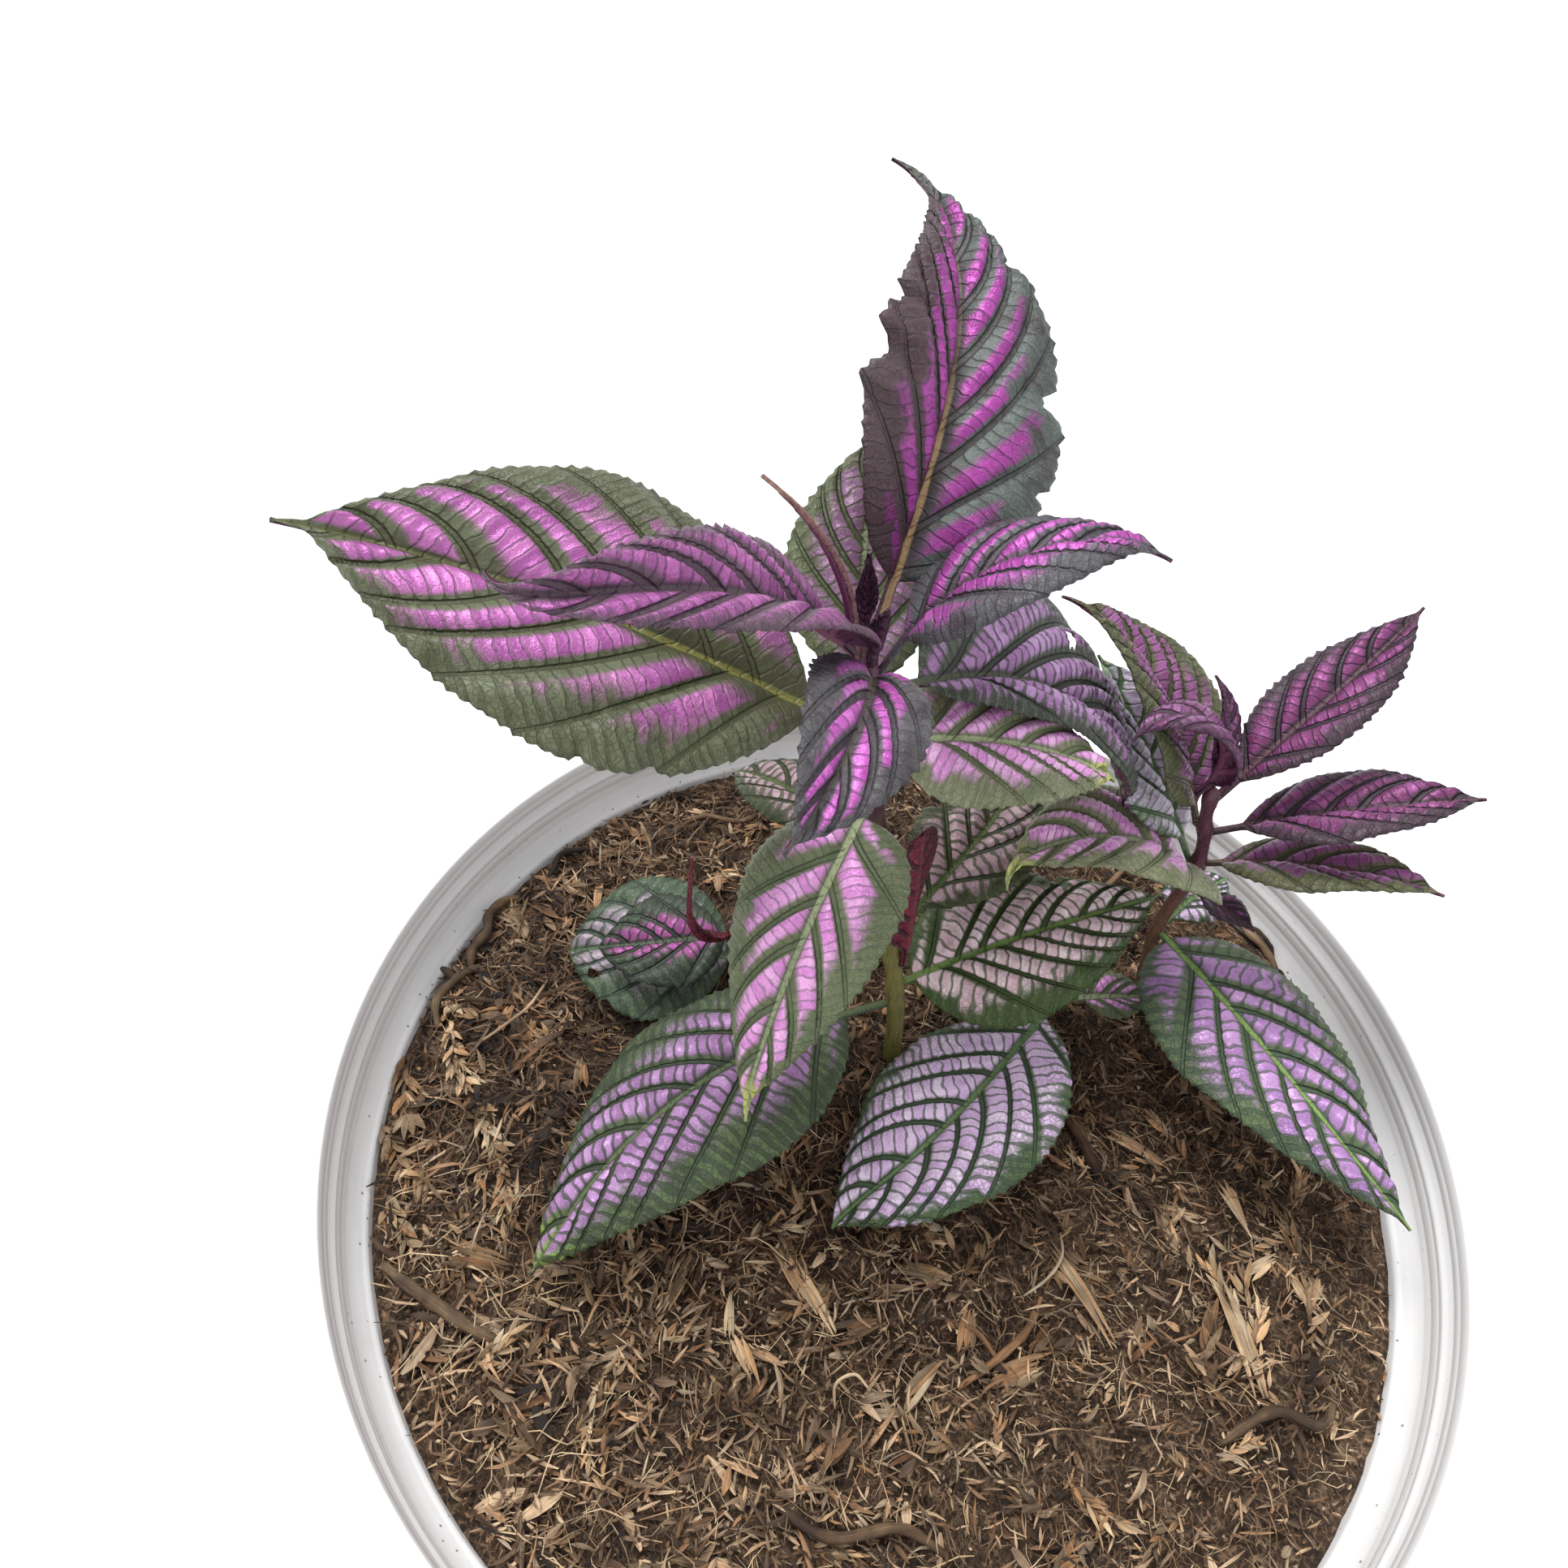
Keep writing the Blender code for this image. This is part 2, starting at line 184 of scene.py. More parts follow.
LEAVES = {
    "leaf_main_upright": Leaf("main", 305, 67, 48, 37, 60, 104, 44.5, 46, 22, 12, 0.32,
                              "vivid", -50, 15, 0.08, 1.47),
    "leaf_main_upper_right": Leaf("main", 301, 14, 66, 87, -19, 58, 28, -8, 0, 8, 0.385,
                                  "upper", -6, -9, 0.03, 1.19),
    "leaf_main_young_left": Leaf("main", 306, 228, 55, 54, -26, 79, 24, -1, 20, 7, 0.25,
                                 "dusk", -63, -86, 0.025, 1.1),
    "leaf_main_big_left": Leaf("main", 286, 178, 31, 19, 3, 107, 59, -11, 4, 10, 0.43,
                               "rosy", -12, 3, 0.045, 1.15),
    "leaf_main_front": Leaf("main", 299, 269, 59, 102, -39, 60, 21, -12, 14, 4, 0.55,
                            "slate", -34, -15, 0.03, 1.15),
    "leaf_main_right_front": Leaf("main", 284, 9, 3, 41, -4, 53, 30, 8, -2, 3, 0.31,
                                  "bright", 3, -3, 0.03, 0.87),
    "leaf_main_back": Leaf("main", 282, 98, 41, 22, -30, 68, 31, -6, 10, 10, 0.41,
                           "veiled", 2, -30, 0.04, 1.12),
    "leaf_main_right_back": Leaf("main", 295, 33, -7, 67, -48, 95, 53, 14, 11, 10, 0.41,
                                 "quilted", -17, -13, 0.013, 1.17),
    "leaf_main_hanging": Leaf("main", 271, 245, -13, 54, 2, 70, 32, 8, 3, 4, 0.29,
                              "pink", -3, 29, 0.06, 1.13),
    "leaf_main_low_left": Leaf("main", 203, 209, 17, 64, 33, 107, 48, 9, -5, 12, 0.385,
                               "purple", 21, -21, 0.02, 1.12),
    "leaf_main_low_right": Leaf("main", 209, 20, 16, 31, 8, 73, 39, 5, -8, 2, 0.33,
                                "rose", 8, 5, 0.015, 1.14),
    "leaf_main_shaded": Leaf("main", 226, 49, 14, 28, 28, 67, 30, 0, 8, 8, 0.42, "dusky"),
    "leaf_main_maroon": Leaf("main", 221, 328, 92, 0, 0, 45, 23, 0, 8, 3, 0.60, "maroon", 0, 0, 0, 0.85),
    "leaf_main_back_left": Leaf("main", 250, 131, 4, 44, 5, 52, 22, 0, 10, 6, 0.42, "dusky"),
    "leaf_main_sliver": Leaf("main", 302, 214, 89, 48, -30, 47, 2.6, 0, 20, 3, 0.42, "pale"),
    "leaf_main_bud_front": Leaf("main", 306, 300, 84, 10, 0, 13, 4.6, 0, 30, 2, 0.42, "bud"),
    "leaf_main_bud_back": Leaf("main", 307.5, 95, 84, 4, 0, 15, 4.4, 0, 30, 2, 0.42, "bud"),
    "leaf_right_tall": Leaf("right", 240, 134, 63, 42, 34, 66, 33, 6, 12, 4, 0.38,
                            "olive", 9, 12, 0.06, 1.2),
    "leaf_right_curled": Leaf("right", 252, 166, 113, 164, 47, 43, 17.5, 14, -1, 3, 0.42,
                              "curl", 2, 0, 0.02, 1.15),
    "leaf_right_sliver": Leaf("right", 252, 85, 82, 34, 80, 28, 6, 0, 20, 3, 0.42, "curl"),
    "leaf_right_up": Leaf("right", 249, 31, 40, 14, 13, 62, 22, -10, 10, 5, 0.44, "dark"),
    "leaf_right_outer": Leaf("right", 238, 350, 33, 20, 10, 56, 28, -15, 9, 6, 0.44, "dark"),
    "leaf_right_outer_low": Leaf("right", 227, 333, 36, 30, 0, 50, 26, -14, 8, 3, 0.42, "olive"),
    "leaf_right_arched": Leaf("right", 223, 191, 50, 75, 23, 63, 39, 10, 9, 2, 0.25,
                              "bright", -14, 69, 0.1, 0.94),
    "leaf_right_back": Leaf("right", 225, 134, 50, 14, -4, 56, 33, 8, 7, 6, 0.43, "silver"),
    "leaf_right_big_low": Leaf("right", 200, 296, 9, 26, 12, 84, 44, -3, -3, 2, 0.34, "orchid"),
    "leaf_right_small": Leaf("right", 200, 40, 13, 26, -8, 27, 17, 0, 8, 3, 0.42, "lilac"),
    "leaf_right_small_tip": Leaf("right", 218, 309, 14, 12, 0, 18, 9, 0, 10, 3, 0.42, "dark"),
    "leaf_low_front": Leaf("low", 188, 232, 8, 25, -22, 85, 44, 18, 3, 8, 0.45,
                           "lilac", -8, 16, 0.003, 1.05),
    "leaf_low_small": Leaf("low", 184, 0, 16, 20, 0, 22, 14, 0, 8, 3, 0.42, "pink"),
    "leaf_left_large": Leaf("left", 183, 179, 12, 30, 2, 46, 42, -8, 6, 2, 0.45, "sage", 0, 0, 0, 0.8),
    "leaf_left_small": Leaf("left", 193, 194, 8, 18, -14, 34, 27, -6, 5, 1, 0.43, "plum", 0, 0, 0, 0.9),
    "leaf_left_sliver": Leaf("left", 195, 237, 41, -76, 33, 50, 5, 0, 30, 2, 0.30,
                             "maroon", 0, 0, 0.3, 1.3),
}

LOOKS = {
    # The last number paints the left half's margin maroon-brown: painted shade
    "vivid": Look("983C8C", "B24CA6", "5A645E", "433D3E", "B0926A", "743A70",
                  (0.50, 0.66), 1.9, 3.0, 0.15, 0.35, 0.45, 0.8, "", 0.75),
    "upper": Look("A84A9E", "CC64C0", "5A5A5E", "40383E", "4A3A48", "7C4078",
                  (0.50, 0.74), 1.7, 1.0, 0.14, 0.35, 0.4, 0.5),
    # Its wide strip beside the midrib's base is partly its own dark green and partly painted shadow from
    # the young leaf above
    "rosy": Look("AA5CA0", "CC7CBE", "62684E", "46482E", "7C7A40", "8C6080",
                 (0.56, 0.76), 1.6, 8.0, 0.18, 0.30, 0.8, 0.7),
    "slate": Look("B452AA", "D472CA", "565456", "3A3439", "706858", "8A5488",
                  (0.46, 0.64), 1.6, 1.2, 0.15, 0.30, 0.3, 0.7),
    "dusk": Look("96528C", "B868AC", "66505E", "4C3A46", "604E58", "7A4C70",
                 (0.70, 0.98), 1.3, 1.2, 0.16, 0.30, 0.5, 0.5),
    "dark": Look("783868", "98508A", "4A3742", "30222C", "563842", "50284A",
                 (0.55, 0.82), 1.1, 1.5, 0.18, 0.30, 0.6),
    "pink": Look("DE90D4", "F2B4E8", "6E7656", "5C684A", "A6B088", "A884A4",
                 (0.56, 0.74), 1.6, 1.4, 0.14, 0.25, 0.5, 0.3, "C4CC62"),
    # A lighter copy of the pink look: painted light for the leaves that lie in the shade of the leaves
    # above
    "bright": Look("F2A4E8", "FFC8F6", "86886A", "6C7654", "B4BE94", "B48EAE",
                   (0.56, 0.74), 1.6, 1.4, 0.14, 0.25, 0.5, 0.3, "D2DA74"),
    "purple": Look("A67AAA", "C89ACE", "566842", "38432E", "607048", "424A3A",
                   (0.52, 0.76), 1.0, 3.0, 0.34, 0.25, 1.0, 0.0, "8AA64E"),
    # Its patches are painted paler than the leaf's own colour: painted light that lifts the shade the plant
    # casts on the low front leaf
    "lilac": Look("E2C0E8", "F6E0F8", "52663F", "3E5238", "72905A", "4E6248",
                  (0.84, 0.97), 0.7, 1.2, 0.24, 0.18),
    "orchid": Look("A87CB4", "C89CCE", "5A6A48", "3E4E38", "7C9A50", "4E5A4C",
                   (0.70, 0.88), 1.3, 1.6, 0.32, 0.20),
    "rose": Look("DCBCC4", "F2DEE2", "4A5E30", "36481C", "6A8642", "44542E",
                 (0.62, 0.80), 1.0, 0.9, 0.30, 0.12),
    "dusky": Look("A0848C", "BCA0A6", "454E26", "2E3816", "4A5A2A", "36421E",
                  (0.60, 0.82), 0.8, 0.8, 0.38, 0.12),
    "olive": Look("925488", "B06CA8", "626644", "4A4A36", "7A5A50", "624A56",
                  (0.50, 0.74), 1.1, 1.0, 0.20, 0.25, 0.7),
    "silver": Look("CDC0D6", "DED4E4", "8C9C80", "48683F", "5E8050", "6A8266",
                   (0.80, 0.98), 0.5, 0.8, 0.20, 0.15),
    "veiled": Look("84607E", "A07E9A", "626A48", "485034", "66704C", "5A5844",
                   (0.54, 0.76), 0.9, 1.0, 0.26, 0.20),
    "quilted": Look("A070A4", "BC94C4", "505848", "343830", "4E5440", "3E4238",
                    (0.66, 0.88), 1.2, 1.2, 0.30, 0.25),
    "sage": Look("9A8C96", "B8A8B4", "54644A", "39493A", "546648", "3F5040",
                 (0.48, 0.68), 0.8, 1.4, 0.30, 0.15),
    "plum": Look("9C508C", "C468B0", "414E3A", "2C352A", "46523E", "303C30",
                 (0.28, 0.50), 0.8, 1.4, 0.28, 0.22),
    "maroon": Look("6A1C32", "882C46", "5A1C2E", "38101C", "6A2430", "4A1424",
                   (0.60, 0.95), 0.4, 0.6, 0.16, 0.15, 0.6),
    "bud": Look("4A1844", "5E2458", "3A1030", "240A20", "3E1432", "2E0C28",
                (0.60, 0.95), 0.4, 0.6, 0.12, 0.15, 0.5),
    "curl": Look("7C4872", "966490", "583850", "3A1C34", "5A3850", "542C4C",
                 (0.60, 0.95), 0.6, 0.6, 0.14, 0.20, 0.5),
    "pale": Look("9A6E70", "B08480", "8A6260", "7C5650", "A07C70", "8A6260",
                 (0.60, 0.95), 0.4, 0.6, 0.12, 0.10, 0.3),
}

# Leaves whose veins differ from the rule: side veins on each side, rung gap in mm, and how far
# they sweep forward
VEINS = {
    "leaf_main_upright": (8, 2.3, 2.0),
    "leaf_main_big_left": (7, 2.4, 1.2),
    "leaf_main_low_right": (8, 2.7, 1.4),
    "leaf_main_front": (6, 2.0, 3.4),
    "leaf_main_upper_right": (6, 2.0, 2.0),
    "leaf_main_young_left": (7, 2.0, 2.4),
    "leaf_main_low_left": (8, 2.6, 1.6),
    "leaf_main_hanging": (6, 1.9, 1.5),
    "leaf_main_right_front": (6, 1.8, 1.6),
    "leaf_main_right_back": (7, 2.2, 2.6),
    "leaf_right_arched": (6, 1.8, 1.3),
    "leaf_right_tall": (8, 2.0, 1.8),
    "leaf_low_front": (8, 2.6, 1.15),
}

# Torn edges: for a leaf, (side, share of the blade, depth in mm, half length in mm); a depth
# below zero is a lobe that was left standing
BITES = {
    "leaf_main_upright": [(-1, 0.465, 2.6, 1.6), (-1, 0.345, 3.2, 2.4), (-1, 0.390, -1.4, 1.3),
                          (-1, 0.275, -2.0, 1.5), (1, 0.410, 3.0, 2.0), (1, 0.365, -0.6, 1.4),
                          (1, 0.665, 1.5, 1.2), (1, 0.240, 1.8, 1.3), (1, 0.620, -0.8, 1.6)],
    "leaf_main_big_left": [(-1, 0.28, 1.6, 1.8), (-1, 0.40, 1.2, 1.6)],
    "leaf_main_right_back": [(1, 0.32, 12.5, 21)],
    "leaf_main_low_right": [(-1, 0.62, 2.6, 2.2)],
    "leaf_main_shaded": [(-1, 0.45, 3.0, 2.0), (-1, 0.60, 2.2, 1.6)],
    "leaf_left_large": [(-1, 0.70, 1.6, 1.0)],
}

# Holes eaten through a blade: (side, mm along the blade, mm from the midrib, radius in mm)
HOLES = {
    "leaf_main_right_back": [(-1, 44, 14, 1.5)],
    "leaf_left_large": [(-1, 35, 9, 0.8)],
}


def linear(hex_colour):
    """An sRGB hex colour as linear RGBA."""
    parts = [int(hex_colour[i:i + 2], 16) / 255 for i in (0, 2, 4)]
    return [c / 12.92 if c <= 0.04045 else ((c + 0.055) / 1.055) ** 2.4 for c in parts] + [1]


def connect(material, node, inputs):
    """Set a node's inputs: numbers and colours are stored, sockets are linked, and a node stands
    for its first output in use. A list fills the inputs in use in order; a dict names them."""
    if not isinstance(inputs, dict):
        inputs = dict(zip([s.identifier for s in node.inputs if s.enabled], inputs))
        node_inputs = {s.identifier: s for s in node.inputs}
    else:
        node_inputs = node.inputs
    for key, value in inputs.items():
        if isinstance(value, bpy.types.Node):
            value = next(s for s in value.outputs if s.enabled)
        if isinstance(value, bpy.types.NodeSocket):
            material.node_tree.links.new(value, node_inputs[key])
        else:
            node_inputs[key].default_value = value


def add_node(material, kind, inputs=(), **settings):
    """Add a shader node of a kind with its settings, then its inputs."""
    node = material.node_tree.nodes.new("ShaderNode" + kind)
    for key, value in settings.items():
        setattr(node, key, value)
    connect(material, node, inputs)
    return node


def new_material(name):
    """A material of that name, its Principled shader, and add_node bound to the material."""
    material = bpy.data.materials.new(name)
    material.use_nodes = True
    return material, material.node_tree.nodes["Principled BSDF"], partial(add_node, material)


def set_stops(ramp, stops):
    """Give a colour ramp its stops, the two ends first: position and linear colour."""
    elements = ramp.color_ramp.elements
    for i, (position, colour) in enumerate(stops):
        stop = elements[i] if i < 2 else elements.new(position)
        stop.position = position
        stop.color = colour


def finish_piece(name, mesh, materials, replaces=()):
    """Link a mesh as a piece that rides on the part, with its finish and what it stands for."""
    mesh.name = name
    for material in materials:
        mesh.materials.append(material)
    piece = bpy.data.objects.new(name, mesh)
    bpy.context.scene.collection.objects.link(piece)
    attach(piece, BODY)
    if replaces:
        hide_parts(*replaces)
    return piece


def plain_mesh(form, name):
    """Close a bmesh into a mesh as it stands."""
    mesh = bpy.data.meshes.new(name)
    form.to_mesh(mesh)
    form.free()
    return mesh


def mesh_of(form, name):
    """Close a bmesh into a smooth mesh with its normals pointing out."""
    bmesh.ops.recalc_face_normals(form, faces=form.faces[:])
    mesh = plain_mesh(form, name)
    mesh.shade_smooth()
    return mesh


def points_of(mesh):
    """A mesh's vertices as rows of x, y and z."""
    flat = np.empty(len(mesh.vertices) * 3, dtype=np.float32)
    mesh.vertices.foreach_get("co", flat)
    return flat.reshape(-1, 3)


def move_points(mesh, places):
    """Put a mesh's vertices at places in mm."""
    mesh.vertices.foreach_set("co", (places * MM).astype(np.float32).ravel())
    mesh.update()


def copies(template, places, name):
    """One mesh that holds a copy of the template for each set of places in mm."""
    form = bmesh.new()
    for _ in range(len(places)):
        form.from_mesh(template)
    mesh = plain_mesh(form, name)
    move_points(mesh, places)
    return mesh


def run_of(path):
    """The way along a path to each of its points."""
    return np.concatenate([[0], np.cumsum(np.linalg.norm(np.diff(path, axis=0), axis=1))])


def point_field(mesh, name, values):
    """Store three numbers for each vertex as a named attribute."""
    field = mesh.attributes.new(name, "FLOAT_VECTOR", "POINT")
    field.data.foreach_set("vector", np.asarray(values, dtype=np.float32).ravel())


def inner_radius(height):
    """Radius of the planter's inner wall at a height, from the floor up to the ledge."""
    floor_radius = BASE_RADIUS - WALL
    top_radius = COLLAR_FOOT - LEDGE_WIDTH
    return floor_radius + (top_radius - floor_radius) * (height - FLOOR) / (LEDGE_FOOT - FLOOR)


SOIL_RADIUS = inner_radius(SOIL_EDGE_HEIGHT)


def soil_height(x, y):
    """Height of the mix in mm: a low dome with soft bumps that fade at the planter's wall."""
    share = np.minimum(np.hypot(x, y) / SOIL_RADIUS, 1)
    dome = SOIL_MIDDLE_HEIGHT - (SOIL_MIDDLE_HEIGHT - SOIL_EDGE_HEIGHT) * share ** 4
    across, along = x / SOIL_WAVE, y / SOIL_WAVE
    bump = np.sin(across + 1) * np.cos(along) + 0.6 * np.sin(2.4 * across + 1.7 * along)
    return dome + SOIL_BUMP * bump * (1 - share ** 6)


def stem_radius(shoot, height):
    """Radius of a shoot at a height: even taper from the soil to the top."""
    foot, top = shoot.axis[0][2], shoot.axis[-1][2]
    return shoot.foot_radius + (shoot.top_radius - shoot.foot_radius) * (height - foot) / (top - foot)


def stem_point(shoot, height):
    """The shoot's axis at a height."""
    axis = np.array(shoot.axis, dtype=float)
    return np.array([np.interp(height, axis[:, 2], axis[:, i]) for i in range(3)])


def sweep(form, path, radii, sides, squareness=0.0):
    """Extrude a ring along a path in mm, and close both ends."""
    path = [Vector(p) for p in path]
    ring = bmesh.ops.create_circle(form, segments=sides, radius=1)["verts"]
    for i, vertex in enumerate(ring):
        angle = 2 * math.pi * i / sides
        vertex.co *= 1 + squareness * math.cos(4 * angle)
    edges = list({edge for vertex in ring for edge in vertex.link_edges})
    start = edges[:]
    side = None
    last = Matrix.Identity(4)
    for i, (place, radius) in enumerate(zip(path, radii)):
        ahead = (path[min(i + 1, len(path) - 1)] - path[max(i - 1, 0)]).normalized()
        if side is None:
            side = ahead.orthogonal()
        side = (side - ahead * side.dot(ahead)).normalized()
        turned = Matrix((side, ahead.cross(side), ahead)).transposed().to_4x4()
        here = Matrix.Translation(place * MM) @ turned @ Matrix.Scale(radius * MM, 4)
        if i:
            new = bmesh.ops.extrude_edge_only(form, edges=edges)["geom"]
            ring = [g for g in new if isinstance(g, bmesh.types.BMVert)]
            edges = [g for g in new if isinstance(g, bmesh.types.BMEdge)]
        bmesh.ops.transform(form, matrix=here @ last.inverted(), verts=ring)
        last = here
    bmesh.ops.contextual_create(form, geom=start)
    bmesh.ops.contextual_create(form, geom=edges)


def smooth_path(points, steps):
    """Points along a smooth curve through the given ones, by Catmull and Rom's rule."""
    points = np.array(points, dtype=float)
    padded = np.vstack([2 * points[0] - points[1], points, 2 * points[-1] - points[-2]])
    path = []
    for i in range(len(points) - 1):
        a, b, c, d = padded[i:i + 4]
        for t in np.linspace(0, 1, steps, endpoint=False):
            path.append(0.5 * (2 * b + (c - a) * t + (2 * a - 5 * b + 4 * c - d) * t ** 2
                               + (3 * b - a - 3 * c + d) * t ** 3))
    path.append(points[-1])
    return np.array(path)


# Planter

def planter_material(settings):
    """Moulded polypropylene, white: satin and faintly streaked where the tool drew it, with painted shade
    on the outer wall below the rim.
    """
    material, shader, node = new_material("moulded_white_polypropylene")
    place = node("TexCoord").outputs["Object"]
    split = node("SeparateXYZ", [place])
    flat = node("CombineXYZ", [split.outputs[0], split.outputs[1]])
    radius = node("VectorMath", [flat], operation="LENGTH")
    # Draw lines run round the wall, so the noise is stretched along the turn: it reads radius and height
    lines = node("CombineXYZ", [radius, split.outputs[2]])
    streaks = node("TexNoise", {"Vector": lines, "Scale": 1 / (1.4 * MM), "Detail": 3})
    cloud = node("TexNoise", {"Vector": place, "Scale": 1 / (30 * MM), "Detail": 2})
    mixed = node("Mix", [0.45, streaks, cloud])
    tint = node("ValToRGB", [mixed])
    set_stops(tint, [(0.35, (*[0.95 * c for c in settings.plastic], 1)), (0.62, (*settings.plastic, 1))])
    # Crumbs of mix stick to the collar above the soil: dark specks about half a millimetre wide
    grit = node("TexVoronoi", {"Vector": place, "Scale": 1 / (4 * MM)})
    speck = node("MapRange", [grit, 0.05, 0.10, 1, 0])
    low = node("MapRange", [split.outputs[2], (RIDGE_HEIGHT - 2) * MM, SOIL_EDGE_HEIGHT * MM, 0, 1])
    # Watering leaves a thin film of dust on the lower collar and the ledge
    film = node("TexNoise", {"Vector": place, "Scale": 1 / (7 * MM), "Detail": 5})
    film = node("MapRange", [film, 0.50, 0.75, 0, 0.05])
    dirt = node("Math", [speck, film], operation="MAXIMUM")
    dirt = node("Math", [dirt, low], operation="MULTIPLY")
    # The middle of the wall parts the inside from the outside
    middle = node("MapRange", [split.outputs[2], LEDGE_FOOT * MM, (LEDGE_FOOT + LEDGE_DROP) * MM,
                               (inner_radius(LEDGE_FOOT) + WALL / 2) * MM, (RIDGE_RADIUS + 0.2) * MM])
    inside = node("Math", [radius, middle], operation="LESS_THAN")
    above = node("Math", [split.outputs[2], (SOIL_EDGE_HEIGHT - 2) * MM], operation="GREATER_THAN")
    inside = node("Math", [inside, above], operation="MULTIPLY")
    dirt = node("Math", [dirt, inside], operation="MULTIPLY")
    # The outer wall below the rim is mixed toward dark grey: painted shade, which keeps it from washing out
    # to white
    wall_shade = node("MapRange", [split.outputs[2], (RIM_LIP_HEIGHT - 4) * MM, RIM_LIP_HEIGHT * MM, 1, 0])
    outside = node("Math", [PAINTED_WALL_SHADE, inside], operation="SUBTRACT", use_clamp=True)
    wall_shade = node("Math", [wall_shade, outside], operation="MULTIPLY")
    wall = node("Mix", [wall_shade, tint, linear("3A3A3C")], data_type="RGBA")
    colour = node("Mix", [dirt, wall, linear("5A4838")], data_type="RGBA")
    bump = node("Bump", {"Height": streaks, "Strength": 0.35, "Distance": 0.12 * MM})
    connect(material, shader, {"Base Color": colour, "Normal": bump, "Roughness": 0.38, "IOR": 1.49})
    return material


def planter_profile():
    """The planter's section in mm: up the inside, over the collar and rim, and down the outside."""
    step = RIDGE_HEIGHT - 0.52 * COLLAR_DEPTH
    inside = [(0, FLOOR), (inner_radius(FLOOR) - 3, FLOOR), (inner_radius(FLOOR), FLOOR + 3)]
    inside += [(inner_radius(h), h) for h in np.linspace(FLOOR + 12, LEDGE_FOOT - 1, 14)]
    ledge = [(COLLAR_FOOT - LEDGE_WIDTH * (1 - t), LEDGE_FOOT + LEDGE_DROP * t ** 1.4)
             for t in np.linspace(0, 0.94, 7)]
    collar = [(COLLAR_FOOT, LEDGE_FOOT + LEDGE_DROP + 0.4)]
    for height in (LEDGE_FOOT + LEDGE_DROP + 2.6, step - 2.2, step + 3.0, RIDGE_HEIGHT - 3.2):
        radius = COLLAR_FOOT + (0.45 if height > step else 0) + (height - LEDGE_FOOT - LEDGE_DROP) / 40
        collar += [(radius, height - 0.35), (radius + 0.14, height), (radius, height + 0.35)]
        if height < step < height + 5:
            collar += [(radius + 0.05, step - 0.35), (radius + 0.5, step + 0.1)]
    ridge = [(RIDGE_RADIUS - 0.35 + 0.8 * (1 - math.cos(a)), RIDGE_HEIGHT - 0.9 + 0.9 * math.sin(a))
             for a in np.linspace(0.15, 1.35, 6)]
    skirt = smooth_path([(RIDGE_RADIUS + 1.2, RIDGE_HEIGHT - 0.3, 0),
                         (RIDGE_RADIUS + 5, RIDGE_HEIGHT - 4, 0),
                         (RIM_RADIUS - 1.2, RIDGE_HEIGHT - 9.5, 0),
                         (RIM_RADIUS - 0.1, RIM_LIP_HEIGHT + 2, 0)], 6)
    lip = [(RIM_RADIUS, RIM_LIP_HEIGHT + 1), (RIM_RADIUS - 0.6, RIM_LIP_HEIGHT),
           (RIM_RADIUS - 2.0, RIM_LIP_HEIGHT), (RIM_RADIUS - 2.8, RIM_LIP_HEIGHT + 0.8),
           (RIM_RADIUS - 4.5, RIM_LIP_HEIGHT + 5), (RIDGE_RADIUS + 3, RIM_LIP_HEIGHT + 3.6),
           (RIDGE_RADIUS + 1.8, RIM_LIP_HEIGHT + 2)]
    wall_top = inner_radius(LEDGE_FOOT) + WALL
    outside = [(wall_top + (BASE_RADIUS - wall_top) * t, LEDGE_FOOT * (1 - t) + 2 * t)
               for t in np.linspace(0, 1, 16)]
    base = [(BASE_RADIUS - 0.4, 0.7), (BASE_RADIUS - 1.4, 0), (0, 0)]
    return inside + ledge + collar + ridge + [tuple(p[:2]) for p in skirt] + lip + outside + base


class PlanterSettings(PropertyGroup):
    """Looks of the planter."""

    plastic: FloatVectorProperty(name="Plastic", description="Colour of the moulded plastic",
                                 subtype="COLOR", size=3, default=linear("F8F8F7")[:3])
    steps: IntProperty(name="Steps", description="Facets round the planter", default=160, min=32)
    wrinkle: FloatProperty(name="Ledge wrinkle", description="Height of the ledge's flow lines",
                           subtype="DISTANCE", default=0.35 * MM)


class PLANT_OT_planter(Operator):
    """Turn the planter from its section and wrinkle its ledge"""

    bl_idname = "plant.planter"
    bl_label = "Planter"

    def execute(self, context):
        settings = context.scene.planter
        form = bmesh.new()
        points = [form.verts.new((r * MM, 0, h * MM)) for r, h in planter_profile()]
        edges = [form.edges.new(pair) for pair in zip(points, points[1:])]
        bmesh.ops.spin(form, geom=points + edges, axis=(0, 0, 1), cent=(0, 0, 0),
                       angle=2 * math.pi, steps=settings.steps, use_merge=True)
        bmesh.ops.remove_doubles(form, verts=form.verts[:], dist=0.02 * MM)
        for vertex in form.verts:
            radius = vertex.co.xy.length
            share = (vertex.co.z - LEDGE_FOOT * MM) / (LEDGE_DROP * MM)
            if 0.02 < share < 0.98 and radius < COLLAR_FOOT * MM:
                turn = math.atan2(vertex.co.y, vertex.co.x)
                flow = (noise.noise((turn * 14, share * 5, 3))
                        + 0.6 * noise.noise((turn * 40, share * 9, 7)))
                vertex.co.z += settings.wrinkle * flow * math.sin(math.pi * share)
        mesh = mesh_of(form, "planter_shell")
        mesh.set_sharp_from_angle(angle=math.radians(50))
        finish_piece("planter_shell", mesh, [planter_material(settings)], ["pot"])
        return {"FINISHED"}


# Potting mix

